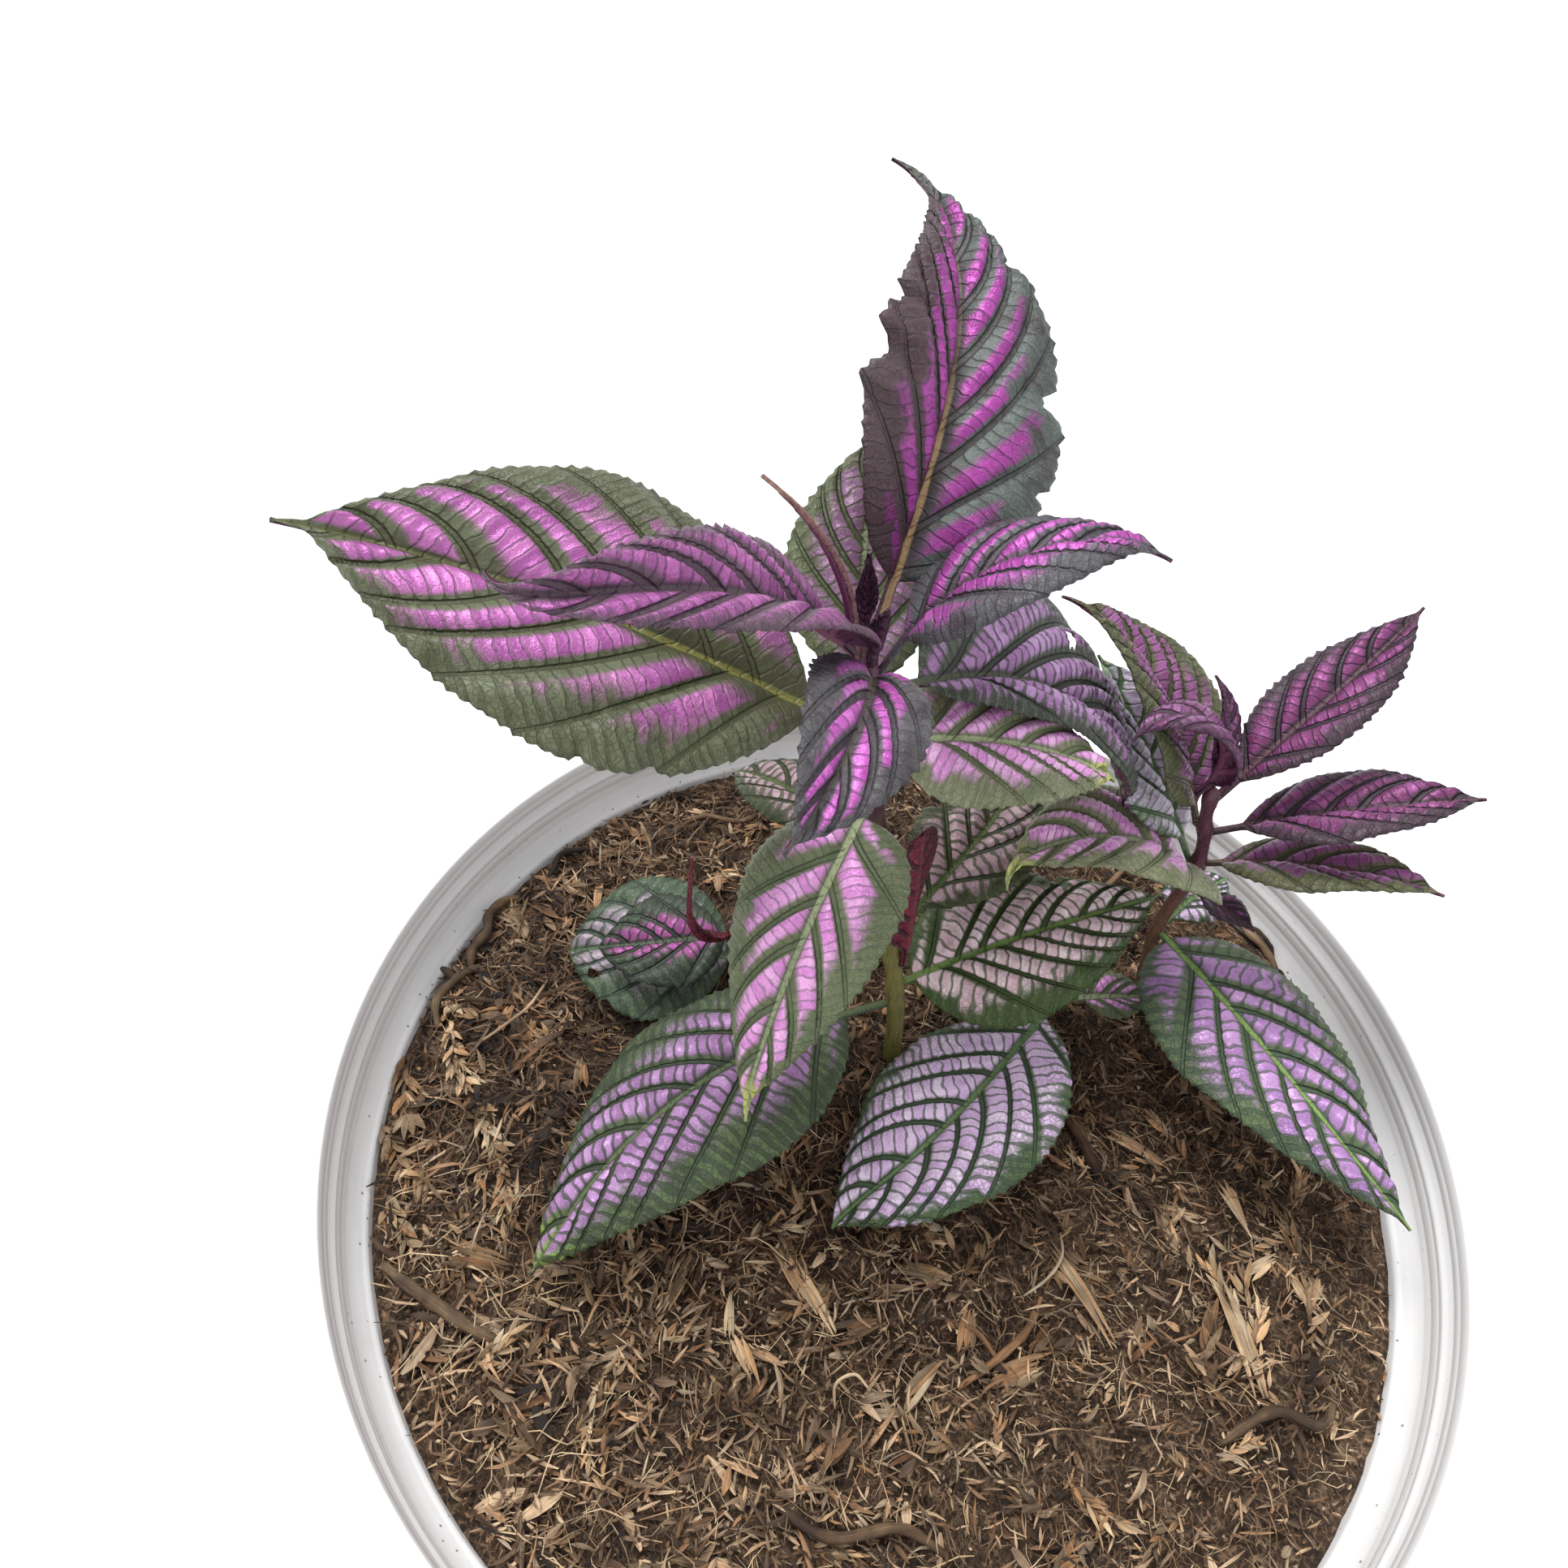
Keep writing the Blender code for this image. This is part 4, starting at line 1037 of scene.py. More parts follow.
class PLANT_OT_stems(Operator):
    """Sweep the four stems, swollen where leaves grow, and set their hairs"""

    bl_idname = "plant.stems"
    bl_label = "Stems"

    def execute(self, context):
        settings = context.scene.stems
        draw = np.random.default_rng(settings.seed)
        roots, tips = [], []
        for name, shoot in SHOOTS.items():
            heights = np.arange(shoot.axis[0][2] + 15, shoot.axis[-1][2] + 0.1, 0.8)
            knots = smooth_path(shoot.axis, 12)
            path = np.stack([np.interp(heights, knots[:, 2], knots[:, i]) for i in range(3)], 1)
            nodes = sorted({leaf.node for leaf in LEAVES.values() if leaf.shoot == name})
            girth = np.array([stem_radius(shoot, h) for h in heights])
            for node in nodes:
                girth += settings.swelling / MM / 2 * np.exp(-((heights - node + 0.6) / 2.2) ** 2)
            girth[-3:] *= (0.9, 0.7, 0.35)
            form = bmesh.new()
            sweep(form, path, girth, settings.sides, 0.06)
            finish = stem_material("green_stem_" + name, *STEM_FINISHES[name])
            finish_piece("stem_" + name + "_fine", mesh_of(form, "stem"), [finish],
                         ["stem_" + name])
            count = int(settings.hairs * (heights[-1] - SOIL_MIDDLE_HEIGHT))
            pick = draw.integers(30 if name == "main" else 18, len(path) - 3, count)
            turn = draw.uniform(0, 2 * math.pi, count)
            out = np.stack([np.cos(turn), np.sin(turn), draw.normal(0.2, 0.3, count)], 1)
            out /= np.linalg.norm(out, axis=1)[:, None]
            jitter = draw.uniform(-0.4, 0.4, count)[:, None] * np.array([0, 0, 1])
            roots.append(path[pick] + out * girth[pick][:, None] * 0.9 + jitter)
            tips.append(roots[-1] + out * draw.uniform(0.5, 1.1, count)[:, None])
        mesh = hair_mesh(np.concatenate(roots), np.concatenate(tips), 0.05)
        finish_piece("stem_hairs", mesh, [hair_material()])
        return {"FINISHED"}


def hair_material():
    """Plant hair: thin, clear and pale, so that it shows as a soft light fringe."""
    material, shader, node = new_material("pale_plant_hair")
    place = node("TexCoord").outputs["Object"]
    tone = node("TexNoise", {"Vector": place, "Scale": 1 / (8 * MM)})
    colour = node("Mix", [tone, linear("8C6E76"), linear("CDBFAE")], data_type="RGBA")
    connect(material, shader, {"Base Color": colour, "Roughness": 0.45})
    return material


def hair_mesh(roots, tips, radius):
    """Three-sided spikes from the roots to the tips, in mm, as one mesh."""
    form = bmesh.new()
    bmesh.ops.create_cone(form, cap_ends=True, segments=3, radius1=1, radius2=0.15, depth=1)
    bmesh.ops.translate(form, verts=form.verts[:], vec=(0, 0, 0.5))
    template = plain_mesh(form, "hair")
    x, y, z = points_of(template).T
    along = tips - roots
    ahead = along / np.linalg.norm(along, axis=1)[:, None]
    side = np.cross(ahead, np.where(np.abs(ahead[:, 2:]) < 0.9, (0, 0, 1), (1, 0, 0)))
    side /= np.linalg.norm(side, axis=1)[:, None]
    over = np.cross(ahead, side)
    places = (roots[:, None] + along[:, None] * z[:, None]
              + radius * (side[:, None] * x[:, None] + over[:, None] * y[:, None]))
    return copies(template, places, "hairs")


# Leaves

def vein_nodes(node):
    """The vein pattern from the leaf's own maps, with distances in mm."""
    veins = node("UVMap", uv_map="veins")
    pair = node("SeparateXYZ", [veins])
    blade = node("Attribute", attribute_name="blade").outputs["Vector"]
    part = node("SeparateXYZ", [blade])
    gaps = node("Attribute", attribute_name="gaps").outputs["Vector"]
    gap = node("SeparateXYZ", [gaps])
    row = node("Math", [pair.outputs[0]], operation="FLOOR")
    turn = node("Math", [row, RUNG_TURN], operation="MULTIPLY")
    sway = node("Math", [turn], operation="SINE")
    ladder = node("Math", [sway, RUNG_SHIFT, pair.outputs[1]], operation="MULTIPLY_ADD")
    # Rungs stand unevenly, some near each other and some far apart
    uneven = node("TexNoise", {"Vector": node("TexCoord").outputs["Object"], "Scale": 1 / (4 * MM),
                               "Detail": 1})
    ladder = node("Math", [uneven, 1.0, ladder], operation="MULTIPLY_ADD")
    to_vein = node("Math", [pair.outputs[0], 0.5], operation="PINGPONG")
    to_vein = node("Math", [to_vein, gap.outputs[0]], operation="MULTIPLY")
    # The same distance with a sign: below zero on the side toward the leaf's base
    past = node("Math", [pair.outputs[0], 0.5], operation="ADD")
    past = node("Math", [past], operation="FRACT")
    past = node("Math", [past, 0.5], operation="SUBTRACT")
    past = node("Math", [past, gap.outputs[0]], operation="MULTIPLY")
    to_rung = node("Math", [ladder, 0.5], operation="PINGPONG")
    to_rung = node("Math", [to_rung, gap.outputs[1]], operation="MULTIPLY")
    rung_row = node("Math", [ladder], operation="FLOOR")
    cell = node("CombineXYZ", [row, rung_row])
    by_panel = node("TexWhiteNoise", [cell], noise_dimensions="2D")
    by_row = node("TexWhiteNoise", [row], noise_dimensions="1D")
    return {"to_vein": to_vein, "past": past, "to_rung": to_rung, "panel": by_panel, "row": by_row,
            "gap": gap.outputs[0], "left": gap.outputs[2], "edge": part.outputs[0], "rib": part.outputs[1],
            "share": part.outputs[2]}


def leaf_upper_material(name, look, settings):
    """A persian shield's upper side: waxy, quilted between sunken veins, with a metallic
    purple bloom in the panels that fades to green along the margin."""
    material, shader, node = new_material("quilted_leaf_" + name)
    place = node("TexCoord").outputs["Object"]
    v = vein_nodes(node)
    mottle = node("TexNoise", {"Vector": place, "Scale": 1 / (6 * MM), "Detail": 3})
    ragged = node("TexNoise", {"Vector": place, "Scale": 1 / (1.6 * MM), "Detail": 2})
    grain = node("TexNoise", {"Vector": place, "Scale": 1 / (0.5 * MM), "Detail": 3})
    # A side vein is 1.2 mm wide at the midrib and half that at the margin
    vein_width = node("MapRange", [v["edge"], 0, 1, 0.58, 0.30])
    vein = node("Math", [v["to_vein"], vein_width], operation="DIVIDE")
    vein = node("MapRange", [vein, 0.6, 1.35, 1, 0], **SOFT)
    # Rungs are thin in the middle of the blade and broad where the green takes over
    rung_width = node("MapRange", [v["edge"], 0.45, 1, look.rung, look.rung * 2.2], **SOFT)
    wavy = node("Math", [ragged, 0.36, -0.18], operation="MULTIPLY_ADD")
    wavy = node("Math", [v["to_rung"], wavy], operation="ADD")
    # Panels have round corners, so the nearer of vein and rung counts, and both where they meet
    past_vein = node("Math", [v["to_vein"], vein_width], operation="SUBTRACT")
    past_rung = node("Math", [wavy, rung_width], operation="SUBTRACT")
    seam = node("Math", [past_vein, past_rung, 0.8], operation="SMOOTH_MIN")
    rung = node("MapRange", [seam, -0.16, 0.16, 1, 0], **SOFT)
    # The midrib narrows from 1.6 mm to 0.5 mm
    rib_width = node("MapRange", [v["share"], 0, 1, 0.8, 0.25])
    rib = node("Math", [v["rib"], rib_width], operation="DIVIDE")
    rib = node("MapRange", [rib, 0.7, 1.2, 1, 0], **SOFT)
    net = node("TexVoronoi", {"Vector": place, "Scale": 1 / (1.3 * MM)}, feature="DISTANCE_TO_EDGE")
    crackle = node("MapRange", [net, 0.02, 0.10, 1, 0], **SOFT)
    outward = node("MapRange", [v["edge"], 0.3, 0.9, 0.12, 0.6])
    crackle = node("Math", [crackle, outward], operation="MULTIPLY")
    # Bare of bloom: the margin, ragged from panel to panel, a strip beside each vein that is wider
    # toward the leaf's base, and the angle between the midrib and the lowest side veins
    reach = v["edge"]
    for part, weight in ((v["row"], 0.10), (v["panel"], 0.24), (ragged, 0.16)):
        reach = node("Math", [part, weight, reach], operation="MULTIPLY_ADD")
    outer = node("MapRange", [reach, look.reach[0] + 0.22, look.reach[1] + 0.27, 0, 1], **SOFT)
    lop = node("Math", [v["past"], 0.35, v["to_vein"]], operation="MULTIPLY_ADD")
    # Strips are wider where the veins stand far apart
    apart = node("Math", [7, v["gap"]], operation="DIVIDE")
    lop = node("Math", [lop, apart], operation="MULTIPLY")
    strip = node("Math", [ragged, -0.6, lop], operation="MULTIPLY_ADD")
    strip = node("MapRange", [strip, look.halo * 0.65 - 0.40, look.halo - 0.05, 1, 0], **SOFT)
    bare = node("MapRange", [v["share"], 0, 0.6, look.bare, min(look.bare, 0.9)], **SOFT)
    inner = node("Math", [v["rib"], bare], operation="DIVIDE")
    inner = node("MapRange", [inner, 0.5, 1.5, 1, 0], **SOFT)
    green = node("Math", [strip, inner], operation="MAXIMUM")
    green = node("Math", [outer, green], operation="MAXIMUM")
    bloom = node("Math", [v["panel"], mottle], operation="ADD")
    bloom = node("MapRange", [bloom, 0.5, 1.5, 0, 1], **SOFT)
    patch = node("Mix", [bloom, linear(look.patch), linear(look.glow)], data_type="RGBA")
    cloud = node("MapRange", [mottle, 0.25, 0.55, 0, 1], **SOFT)
    margin = node("Mix", [cloud, linear(look.vein), linear(look.margin)], data_type="RGBA")
    # Painted shade: the left half's margin turns maroon-brown, as that half reflects less of the sky
    flush = node("Math", [v["left"], look.flush], operation="MULTIPLY")
    at_tip = node("MapRange", [v["share"], 0.80, 0.93, 0, 1], **SOFT)
    # Beside the midrib's base the colour turns to the vein's: the leaf's own green there, and on the rosy
    # leaf, whose strip is wide, also painted shadow from the young leaf above
    for part, colour in ((inner, look.vein), (flush, "4A2834"), (at_tip, look.tip or look.margin)):
        margin = node("Mix", [part, margin, linear(colour)], data_type="RGBA")
    tissue = node("Mix", [green, patch, margin], data_type="RGBA")
    # Rungs are tinted by the bloom inside the patches and green like the veins outside them
    line = node("Mix", [green, linear(look.rung_tone), linear(look.vein)], data_type="RGBA")
    fine = node("Math", [rung, crackle], operation="MAXIMUM")
    share = node("MapRange", [green, 0, 1, 0.85, 0.85 * look.net])
    share = node("Math", [fine, share], operation="MULTIPLY")
    crossed = node("Mix", [share, tissue, line], data_type="RGBA")
    # Veins are as dark as ink between the patches and fade into the green of the margin
    share = node("MapRange", [outer, 0, 1, 0.9, look.net * 0.7])
    share = node("Math", [vein, share], operation="MULTIPLY")
    netted = node("Mix", [share, crossed, linear(look.vein)], data_type="RGBA")
    young = node("MapRange", [v["share"], 0.25, 0.5, 0, look.rib_fade], **SOFT)
    spine = node("Mix", [young, linear(look.midrib), netted], data_type="RGBA")
    ribbed = node("Mix", [rib, netted, spine], data_type="RGBA")
    light = node("MapRange", [grain, 0.3, 0.7, 0.86, 1.12])
    shaded = node("VectorMath", [ribbed, light], operation="SCALE")
    # The bloom is a thin layer that shines like metal; veins and margin don't have it
    dull = node("Math", [rung, vein], operation="MAXIMUM")
    dull = node("Math", [green, dull], operation="MAXIMUM")
    metal = node("MapRange", [dull, 0, 1, look.metal, 0.02])
    rough = node("MapRange", [dull, 0, 1, 0.38, 0.5])
    low = node("Math", [rung, -0.5], operation="MULTIPLY")
    for part, weight in ((crackle, -0.4), (vein, -1), (grain, 0.3)):
        low = node("Math", [part, weight, low], operation="MULTIPLY_ADD")
    bump = node("Bump", {"Height": low, "Strength": 1, "Distance": 0.42 * MM})
    connect(material, shader, {"Base Color": shaded, "Metallic": metal, "Roughness": rough, "Normal": bump,
                               "Coat Weight": settings.wax, "Coat Roughness": 0.35,
                               "Specular IOR Level": 0.4})
    return material


def leaf_under_material():
    """A persian shield's underside: matt maroon with raised, paler veins."""
    material, shader, node = new_material("maroon_leaf_underside")
    place = node("TexCoord").outputs["Object"]
    v = vein_nodes(node)
    vein = node("MapRange", [v["to_vein"], 0.35, 0.8, 1, 0], **SOFT)
    rung = node("MapRange", [v["to_rung"], 0.1, 0.35, 0.5, 0], **SOFT)
    rib = node("MapRange", [v["rib"], 0.5, 1.0, 1, 0], **SOFT)
    net = node("Math", [vein, rung], operation="MAXIMUM")
    net = node("Math", [net, rib], operation="MAXIMUM")
    mottle = node("TexNoise", {"Vector": place, "Scale": 1 / (6 * MM), "Detail": 4})
    base = node("Mix", [mottle, linear("3A1430"), linear("5E2850")], data_type="RGBA")
    colour = node("Mix", [net, base, linear("74405C")], data_type="RGBA")
    bump = node("Bump", {"Height": net, "Strength": 0.8, "Distance": 0.3 * MM})
    connect(material, shader, {"Base Color": colour, "Normal": bump, "Roughness": 0.55})
    return material


class LeafSettings(PropertyGroup):
    """Make-up of the leaves."""

    cell: FloatProperty(name="Cell", description="Width of a mesh cell across a blade",
                        subtype="DISTANCE", default=0.85 * MM)
    tooth_pitch: FloatProperty(name="Tooth pitch", description="Distance between two teeth",
                               subtype="DISTANCE", default=2.4 * MM)
    tooth_depth: FloatProperty(name="Tooth depth", description="How far a tooth stands out",
                               subtype="DISTANCE", default=0.7 * MM)
    quilt: FloatProperty(name="Quilting", description="Height of the swell between two side veins",
                         subtype="DISTANCE", default=1.2 * MM)
    panel: FloatProperty(name="Panel swell", description="Height of the swell between two rungs",
                         subtype="DISTANCE", default=0.7 * MM)
    wave: FloatProperty(name="Edge wave", description="Height of the blade's slow waves at its edge",
                        subtype="DISTANCE", default=0.6 * MM)
    thickness: FloatProperty(name="Thickness", description="Thickness of a blade at its midrib",
                             subtype="DISTANCE", default=1.3 * MM)
    wax: FloatProperty(name="Wax", description="Strength of the waxy coat's shine", default=0.05)


def midrib(leaf, shares):
    """Points on a leaf's midrib, and its right and up directions, at shares of its length."""
    shoot = SHOOTS[leaf.shoot]
    fine = np.linspace(0, 1, MIDRIB_STEPS + 1)
    turn = np.radians(leaf.heading + leaf.swing * fine ** 2
                      + leaf.tail * np.clip((fine - 0.8) / 0.2, 0, 1) ** 2)
    pitch = np.radians(leaf.rise - leaf.droop * fine ** DROOP_POWER)
    along = np.stack([np.cos(turn) * np.cos(pitch), np.sin(turn) * np.cos(pitch), np.sin(pitch)], 1)
    heading = math.radians(leaf.heading)
    out = np.array([math.cos(heading), math.sin(heading), 0])
    stand_off = stem_radius(shoot, leaf.node) + 0.35 + 0.75 * max(0, math.sin(math.radians(leaf.rise)))
    start = stem_point(shoot, leaf.node) + out * stand_off
    path = start + np.vstack([np.zeros(3), np.cumsum((along[1:] + along[:-1]) / 2, 0)
                              * leaf.length / MIDRIB_STEPS])
    right = np.stack([np.sin(turn), -np.cos(turn), np.zeros_like(turn)], 1)
    up = np.cross(right, along)
    roll = np.radians(leaf.roll + leaf.twist * fine ** 2)[:, None]
    right, up = right * np.cos(roll) - up * np.sin(roll), up * np.cos(roll) + right * np.sin(roll)
    at = [np.stack([np.interp(shares, fine, f[:, i]) for i in range(3)], 1) for f in (path, right, up)]
    # Shares below zero run back into the stem, so that the petiole grows out of it
    at[0] += np.minimum(shares, 0)[:, None] * leaf.length * along[0]
    return at


def half_width(leaf, share):
    """Half the blade's width in mm at a share of its own length, below 0 on the petiole."""
    s = np.clip(share, 0, 1)
    base_power = leaf.belly * leaf.point / (1 - leaf.belly)
    widest = leaf.belly ** base_power * (1 - leaf.belly) ** leaf.point
    body = np.clip(s / (1 - leaf.drip), 0, 1)
    blade = leaf.width / 2 * body ** base_power * (1 - body) ** leaf.point / widest
    tail = TIP_HALF_WIDTH + leaf.width / 34 * np.clip((1 - s) / 0.12, 0, 1)
    return np.maximum(blade, np.where(s < leaf.belly, PETIOLE_HALF_WIDTH, tail))


def vein_map(leaf, x, y, veins):
    """Numbers of the side veins and of the rungs at x mm along and y mm from the midrib."""
    pairs, rung_gap, forward = veins
    blade = leaf.length - leaf.petiole
    share = np.clip(x / blade, 0, 1)
    out = np.clip(y / half_width(leaf, share), 0, 1)
    lean = forward * VEIN_LEAN + (VEIN_ARCH[0] + VEIN_ARCH[1] * share) * out ** VEIN_BEND
    shift = y * lean + 1e-6
    origin = (x - shift * (1 - np.exp(-np.maximum(x, 0) / shift))) / blade
    side_vein = pairs * origin * (1 + VEIN_CROWD - VEIN_CROWD * origin)
    side_vein = side_vein + 0.10 * np.sin(side_vein * 2.9 + leaf.heading)
    # Rungs cross from vein to vein, square to them where they are halfway out
    ahead = forward * (VEIN_LEAN + 0.5)
    wobble = 0.10 * np.sin(x * 0.61 + y * 0.33) + 0.08 * np.sin(x * 0.27 - y * 0.72 + 1)
    rung = (ahead * x + y) / math.hypot(ahead, 1) / rung_gap + wobble
    return side_vein, rung


def vein_gaps(leaf, x, y, veins):
    """Millimetres from one side vein to the next, and from one rung to the next, at a place."""
    step = 0.25
    ahead, behind = (vein_map(leaf, x + d, y, veins) for d in (step, -step))
    out, back = (vein_map(leaf, x, y + d, veins) for d in (step, 0))
    gaps = []
    for i in range(2):
        slope = np.hypot((ahead[i] - behind[i]) / (2 * step), (out[i] - back[i]) / step)
        gaps.append(np.clip(1 / np.maximum(slope, 1e-4), 0.6, 14))
    return gaps


def swell(value, sharpness=2.5):
    """A pillow between whole numbers: 0 at each, 1 half way."""
    return 1 - np.abs(2 * (value - np.floor(value)) - 1) ** sharpness


def make_leaf(name, leaf, materials, settings):
    """A fine blade: toothed, quilted, thick along its midrib, with a petiole that reaches the stem."""
    blade = leaf.length - leaf.petiole
    teeth = max(7, round(blade / (settings.tooth_pitch / MM)))
    stalk = max(4, round(leaf.petiole / 1.2) + 2)
    long_cells = stalk + 3 * teeth
    wide_cells = 2 * max(5, round(leaf.width / 2 / (settings.cell / MM)))
    form = bmesh.new()
    bmesh.ops.create_grid(form, x_segments=long_cells, y_segments=wide_cells, size=0.5)
    mesh = plain_mesh(form, name + "_fine")
    grid = points_of(mesh)
    station = np.round((grid[:, 0] + 0.5) * long_cells).astype(int)
    across = -2 * grid[:, 1]
    sink = stem_radius(SHOOTS[leaf.shoot], leaf.node) * 0.7 + 0.5
    length_at = np.concatenate([np.linspace(-sink, leaf.petiole, stalk + 1)[:-1],
                                leaf.petiole + blade * np.linspace(0, 1, 3 * teeth + 1)])[station]
    share = (length_at - leaf.petiole) / blade
    path, right, up = midrib(leaf, length_at / leaf.length)
    reach, side = np.abs(across), np.sign(across)
    half = half_width(leaf, share)
    seed = sum(map(ord, name))
    for bite_side, at, depth, spread in BITES.get(name, []):
        half = half - np.where(side == bite_side, depth * np.exp(-((share - at) * blade / spread) ** 4), 0)
    # Teeth point forward: each rises over three stations and drops back at once
    tooth = np.array([0.0, 0.55, 1.0])[(station - stalk) % 3] * (settings.tooth_depth / MM)
    tooth = tooth * np.clip(np.minimum(share / 0.08, (1 - share) / 0.05), 0, 1) * np.minimum(1, half / 6)
    tooth = tooth * (0.8 + 0.4 * np.sin(station * 1.7 + seed + side))
    half = half + tooth * reach ** 12
    x, y = share * blade, reach * half
    inside = np.clip(x, 0, None)
    veins = VEINS.get(name, (max(5, round(3.6 + blade / 26)), min(3.2, 1.2 + leaf.width / 22), 1.4))
    side_vein, rung = vein_map(leaf, inside, y, veins)
    number = side_vein + np.where(side < 0, VEIN_OFFSET, 0)
    ladder = rung + RUNG_SHIFT * np.sin(RUNG_TURN * np.floor(number))
    scale = min(1, leaf.width / 34)
    quiet = np.clip(y / 2.4, 0, 1) * (1 - reach ** 10) * np.clip(share * 8, 0, 1) * scale
    relief = quiet * swell(number) * (settings.quilt + settings.panel * swell(ladder)) / MM
    slow = np.sin(x / 6.5 + seed) + 0.6 * np.sin(x / 3.4 + 2 * seed + side)
    relief = relief + settings.wave / MM * slow * reach ** 3 * scale * np.clip(half / 8, 0, 1)
    # The petiole is a round stalk: its middle stands up where the blade's lies in a groove
    stalky = np.clip(1 - share * 14, 0, 1)
    relief = relief + 0.55 * (1 - reach ** 2) * stalky
    fold = math.radians(leaf.fold)
    height = half * (math.sin(fold) * reach + CUP * (reach - reach ** 2)) + relief
    spots = path + right * (half * across * math.cos(fold))[:, None] + up * height[:, None]
    move_points(mesh, spots)
    edge = reach + 0.35 * np.clip(1 - share / 0.10, 0, 1) + 0.30 * np.clip((share - 0.90) / 0.10, 0, 1)
    point_field(mesh, "blade", np.stack([edge, y, np.clip(share, 0, 1)], 1))
    vein_gap, rung_gap = vein_gaps(leaf, inside, y, veins)
    point_field(mesh, "gaps", np.stack([vein_gap, rung_gap, side < 0], 1))
    corners = np.empty(len(mesh.loops), dtype=np.int32)
    mesh.loops.foreach_get("vertex_index", corners)
    face_side = np.sign(across[corners].reshape(-1, 4).mean(1)).repeat(4)
    field = mesh.uv_layers.new(name="veins")
    numbers = side_vein[corners] + np.where(face_side < 0, VEIN_OFFSET, 0)
    field.data.foreach_set("uv", np.stack([numbers, rung[corners]], 1).astype(np.float32).ravel())
    cut_holes(mesh, name, x, y, side)
    mesh.shade_smooth()
    mesh.update()
    piece = finish_piece(name + "_fine", mesh, materials,
                         [name])
    flat = np.empty(len(mesh.vertices) * 3, dtype=np.float32)
    mesh.attributes["blade"].data.foreach_get("vector", flat)
    _, from_rib, along = flat.reshape(-1, 3).T
    group = piece.vertex_groups.new(name="midrib")
    thick = np.clip(1.25 - from_rib / 1.6, 0, 1) * (1 - 0.9 * np.clip(along * 2 - 1, 0, 1))
    weight = np.round(thick * THICKNESS_LEVELS).astype(int)
    for level in range(1, THICKNESS_LEVELS + 1):
        group.add(np.nonzero(weight == level)[0].tolist(), level / THICKNESS_LEVELS, "REPLACE")
    wall = piece.modifiers.new("thickness", "SOLIDIFY")
    wall.thickness = settings.thickness
    wall.offset = -1
    wall.vertex_group = group.name
    wall.thickness_vertex_group = 0.35
    wall.material_offset = 1
    wall.material_offset_rim = 0
    return piece


def cut_holes(mesh, name, x, y, side):
    """Remove the cells that lie inside a leaf's eaten holes."""
    holes = HOLES.get(name, [])
    if not holes:
        return
    form = bmesh.new()
    form.from_mesh(mesh)
    form.verts.ensure_lookup_table()
    gone = set()
    for hole_side, along, off, radius in holes:
        inside = (side == hole_side) & (np.hypot(x - along, y - off) < radius + 0.35)
        gone |= set(np.nonzero(inside)[0].tolist())
    faces = [f for f in form.faces if any(v.index in gone for v in f.verts)]
    bmesh.ops.delete(form, geom=faces, context="FACES")
    form.to_mesh(mesh)
    form.free()


class PLANT_OT_leaves(Operator):
    """Shape every leaf on its shoot: teeth, quilting, veins and a maroon underside"""

    bl_idname = "plant.leaves"
    bl_label = "Leaves"

    def execute(self, context):
        settings = context.scene.leaves
        under = leaf_under_material()
        uppers = {name: leaf_upper_material(name, look, settings) for name, look in LOOKS.items()}
        for name, leaf in LEAVES.items():
            back = uppers[leaf.look] if leaf.look in ("bud", "maroon") else under
            make_leaf(name, leaf, [uppers[leaf.look], back], settings)
        return {"FINISHED"}


# Stage

class StageSettings(PropertyGroup):
    """Floor, light and camera."""

    floor: FloatVectorProperty(name="Floor", description="Colour of the floor", subtype="COLOR", size=3,
                               default=linear("F4F4F4")[:3])
    floor_size: FloatProperty(name="Floor size", description="Side of the floor", subtype="DISTANCE",
                              default=12.0)
    sun: FloatProperty(name="Sun", description="Strength of the sun behind thin cloud", default=2.7)
    haze: FloatProperty(name="Haze", description="Width of the bright part of the sky", subtype="ANGLE",
                        default=math.radians(30))
    sky: FloatProperty(name="Sky", description="Brightness of the even light from all round", default=0.95)
    tilt: FloatProperty(name="Tilt", description="How far the camera looks down", subtype="ANGLE",
                        default=math.radians(47.8))
    roll: FloatProperty(name="Roll", description="How far the camera is turned", subtype="ANGLE",
                        default=math.radians(3.1))
    lens: FloatProperty(name="Lens", description="Focal length on a 36 mm sensor",
                        subtype="DISTANCE_CAMERA",
                        default=24.224)


# The camera's place in mm: over the front of the rim, as in the photograph
CAMERA_PLACE = (-28.6, -119.86, 426.92)

# Where the sun stands: up, and a little to the back and left
SUN_SIDE = (-0.25, 0.35, 1.0)


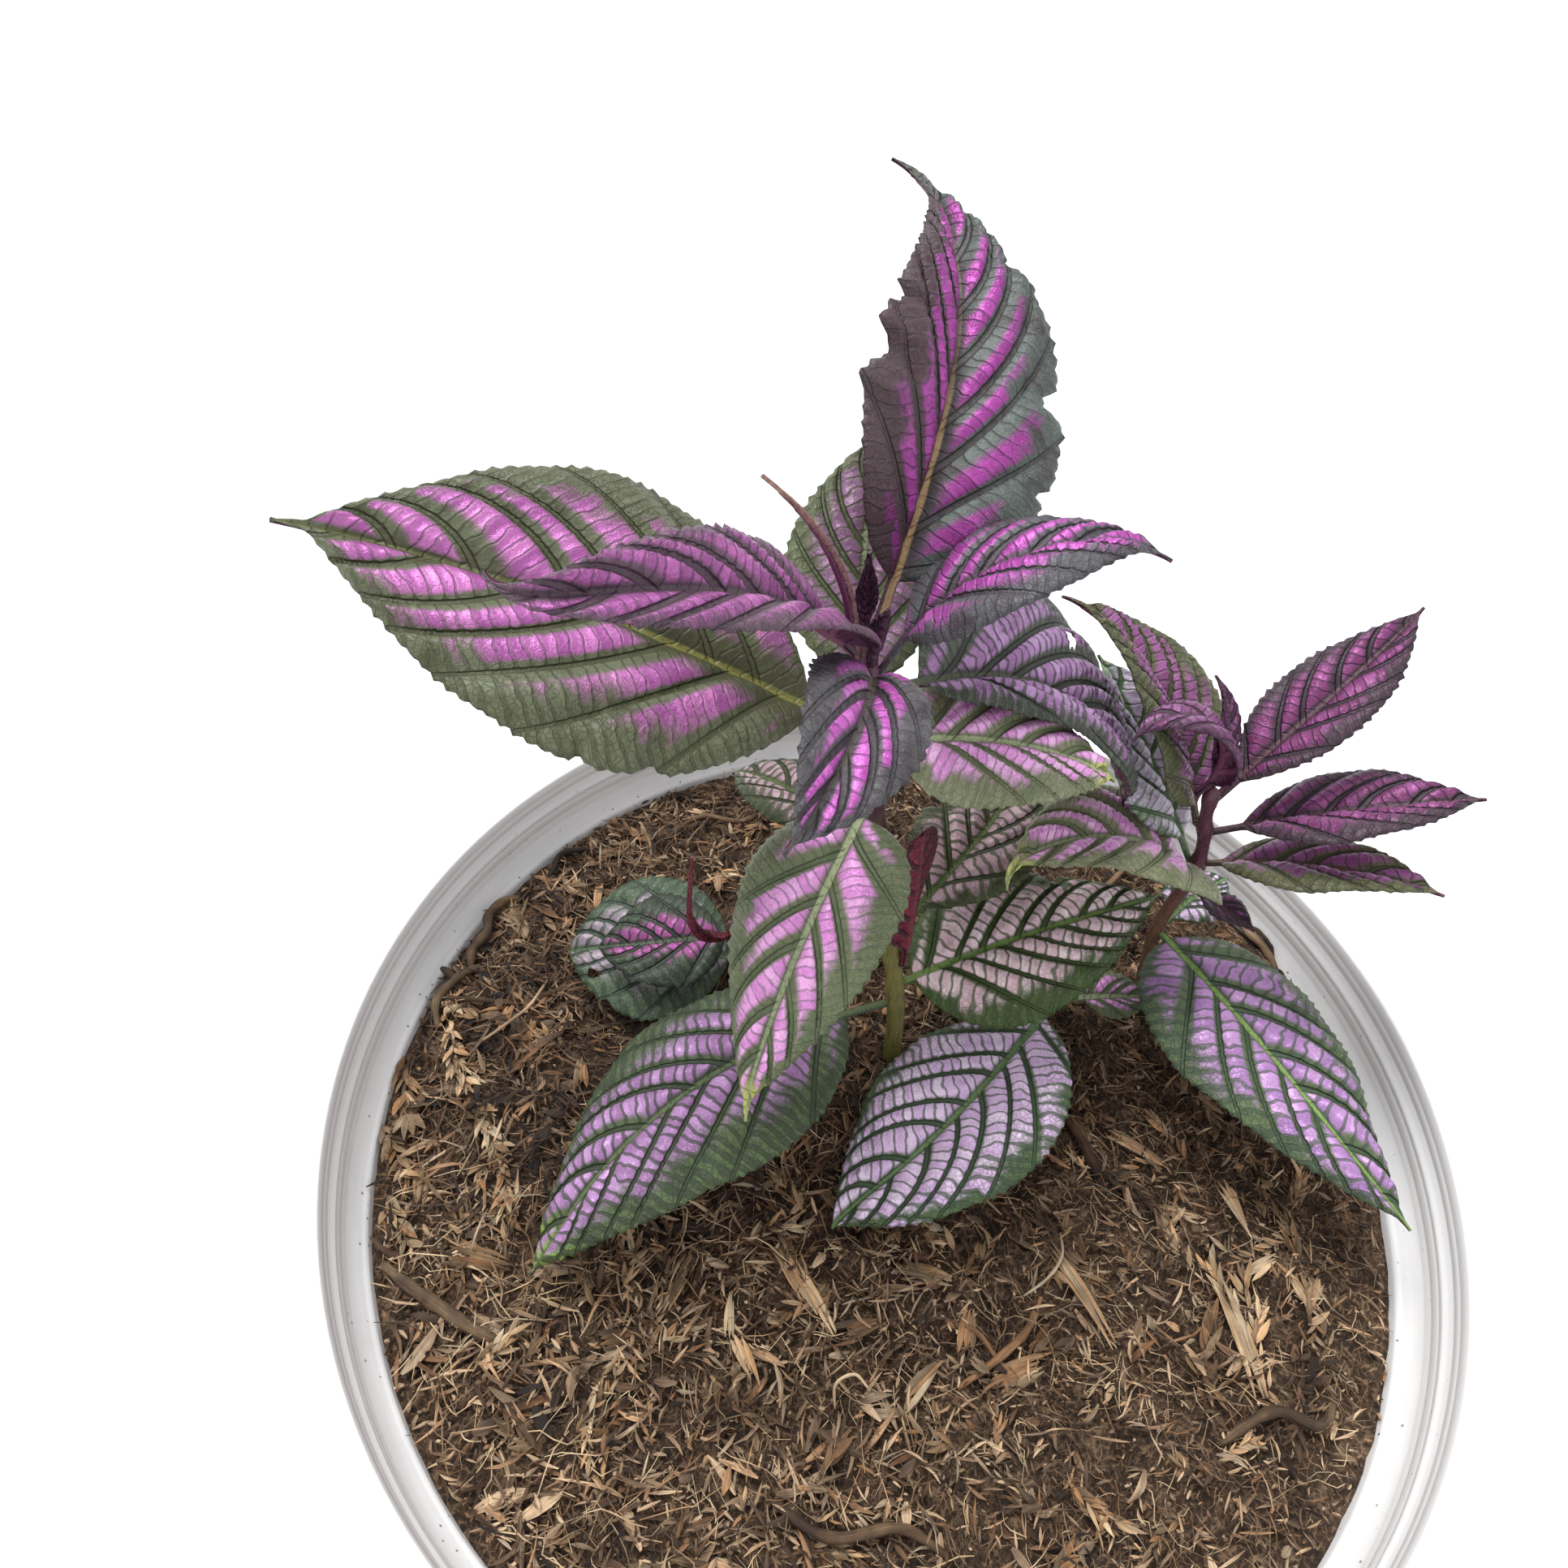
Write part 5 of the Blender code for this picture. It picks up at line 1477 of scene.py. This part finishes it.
class PLANT_OT_stage(Operator):
    """Set the pale floor, the clouded sun and the camera"""

    bl_idname = "plant.stage"
    bl_label = "Stage"

    def execute(self, context):
        settings = context.scene.stage
        scene = context.scene
        form = bmesh.new()
        bmesh.ops.create_grid(form, x_segments=1, y_segments=1, size=settings.floor_size / 2)
        mesh = plain_mesh(form, "floor")
        material, shader, _ = new_material("pale_painted_floor")
        connect(material, shader, {"Base Color": (*settings.floor, 1), "Roughness": 0.9})
        mesh.materials.append(material)
        floor = bpy.data.objects.new("floor", mesh)
        scene.collection.objects.link(floor)
        light = bpy.data.lights.new("clouded_sun", "SUN")
        light.energy = settings.sun
        light.angle = settings.haze
        sun = bpy.data.objects.new("clouded_sun", light)
        sun.rotation_euler = Vector(SUN_SIDE).to_track_quat("Z", "Y").to_euler()
        scene.collection.objects.link(sun)
        world = bpy.data.worlds.new("even_white")
        world.use_nodes = True
        sky = world.node_tree.nodes["Background"]
        sky.inputs["Color"].default_value = linear("FBFCFF")
        sky.inputs["Strength"].default_value = settings.sky
        scene.world = world
        self.camera(scene, settings)
        return {"FINISHED"}

    def camera(self, scene, settings):
        """The photograph's camera: tilted down, a little rolled, with a wide lens."""
        ahead = Vector((0, math.cos(settings.tilt), -math.sin(settings.tilt)))
        right = Vector((1, 0, 0))
        above = right.cross(ahead)
        turned = right * math.cos(settings.roll) + above * math.sin(settings.roll)
        above = above * math.cos(settings.roll) - right * math.sin(settings.roll)
        lens = bpy.data.cameras.new("photo_camera")
        lens.sensor_width = 36
        lens.lens = settings.lens
        lens.clip_start = 0.01
        camera = bpy.data.objects.new("photo_camera", lens)
        axes = Matrix((turned, above, -ahead)).transposed().to_4x4()
        camera.matrix_world = Matrix.Translation(Vector(CAMERA_PLACE) * MM) @ axes
        scene.collection.objects.link(camera)
        scene.camera = camera
        scene.view_settings.view_transform = "Standard"


class PLANT_PT_panel(Panel):
    """Panel that lists the plant's operators and their settings"""

    bl_idname = "PLANT_PT_panel"
    bl_label = "Persian Shield"
    bl_space_type = "VIEW_3D"
    bl_region_type = "UI"
    bl_category = "Plant"

    def draw(self, context):
        for name, _, operator in GROUPS:
            box = self.layout.box()
            box.operator(operator.bl_idname)
            settings = getattr(context.scene, name)
            for key in settings.bl_rna.properties.keys():
                if key not in ("rna_type", "name"):
                    box.prop(settings, key)


# The groups of pieces: where the scene keeps the settings, what they are, and their operator
GROUPS = [
    ("planter", PlanterSettings, PLANT_OT_planter),
    ("mix", MixSettings, PLANT_OT_mix),
    ("stems", StemSettings, PLANT_OT_stems),
    ("leaves", LeafSettings, PLANT_OT_leaves),
    ("stage", StageSettings, PLANT_OT_stage),
]


def register():
    for name, group, operator in GROUPS:
        bpy.utils.register_class(group)
        setattr(bpy.types.Scene, name, PointerProperty(type=group))
        bpy.utils.register_class(operator)
    bpy.utils.register_class(PLANT_PT_panel)


def unregister():
    bpy.utils.unregister_class(PLANT_PT_panel)
    for name, group, operator in reversed(GROUPS):
        bpy.utils.unregister_class(operator)
        delattr(bpy.types.Scene, name)
        bpy.utils.unregister_class(group)


def main():
    """Register the add-on and run its operators in order."""
    register()
    bpy.ops.plant.planter()
    bpy.ops.plant.mix()
    bpy.ops.plant.stems()
    bpy.ops.plant.leaves()
    bpy.ops.plant.stage()


if __name__ == "__main__":
    main()
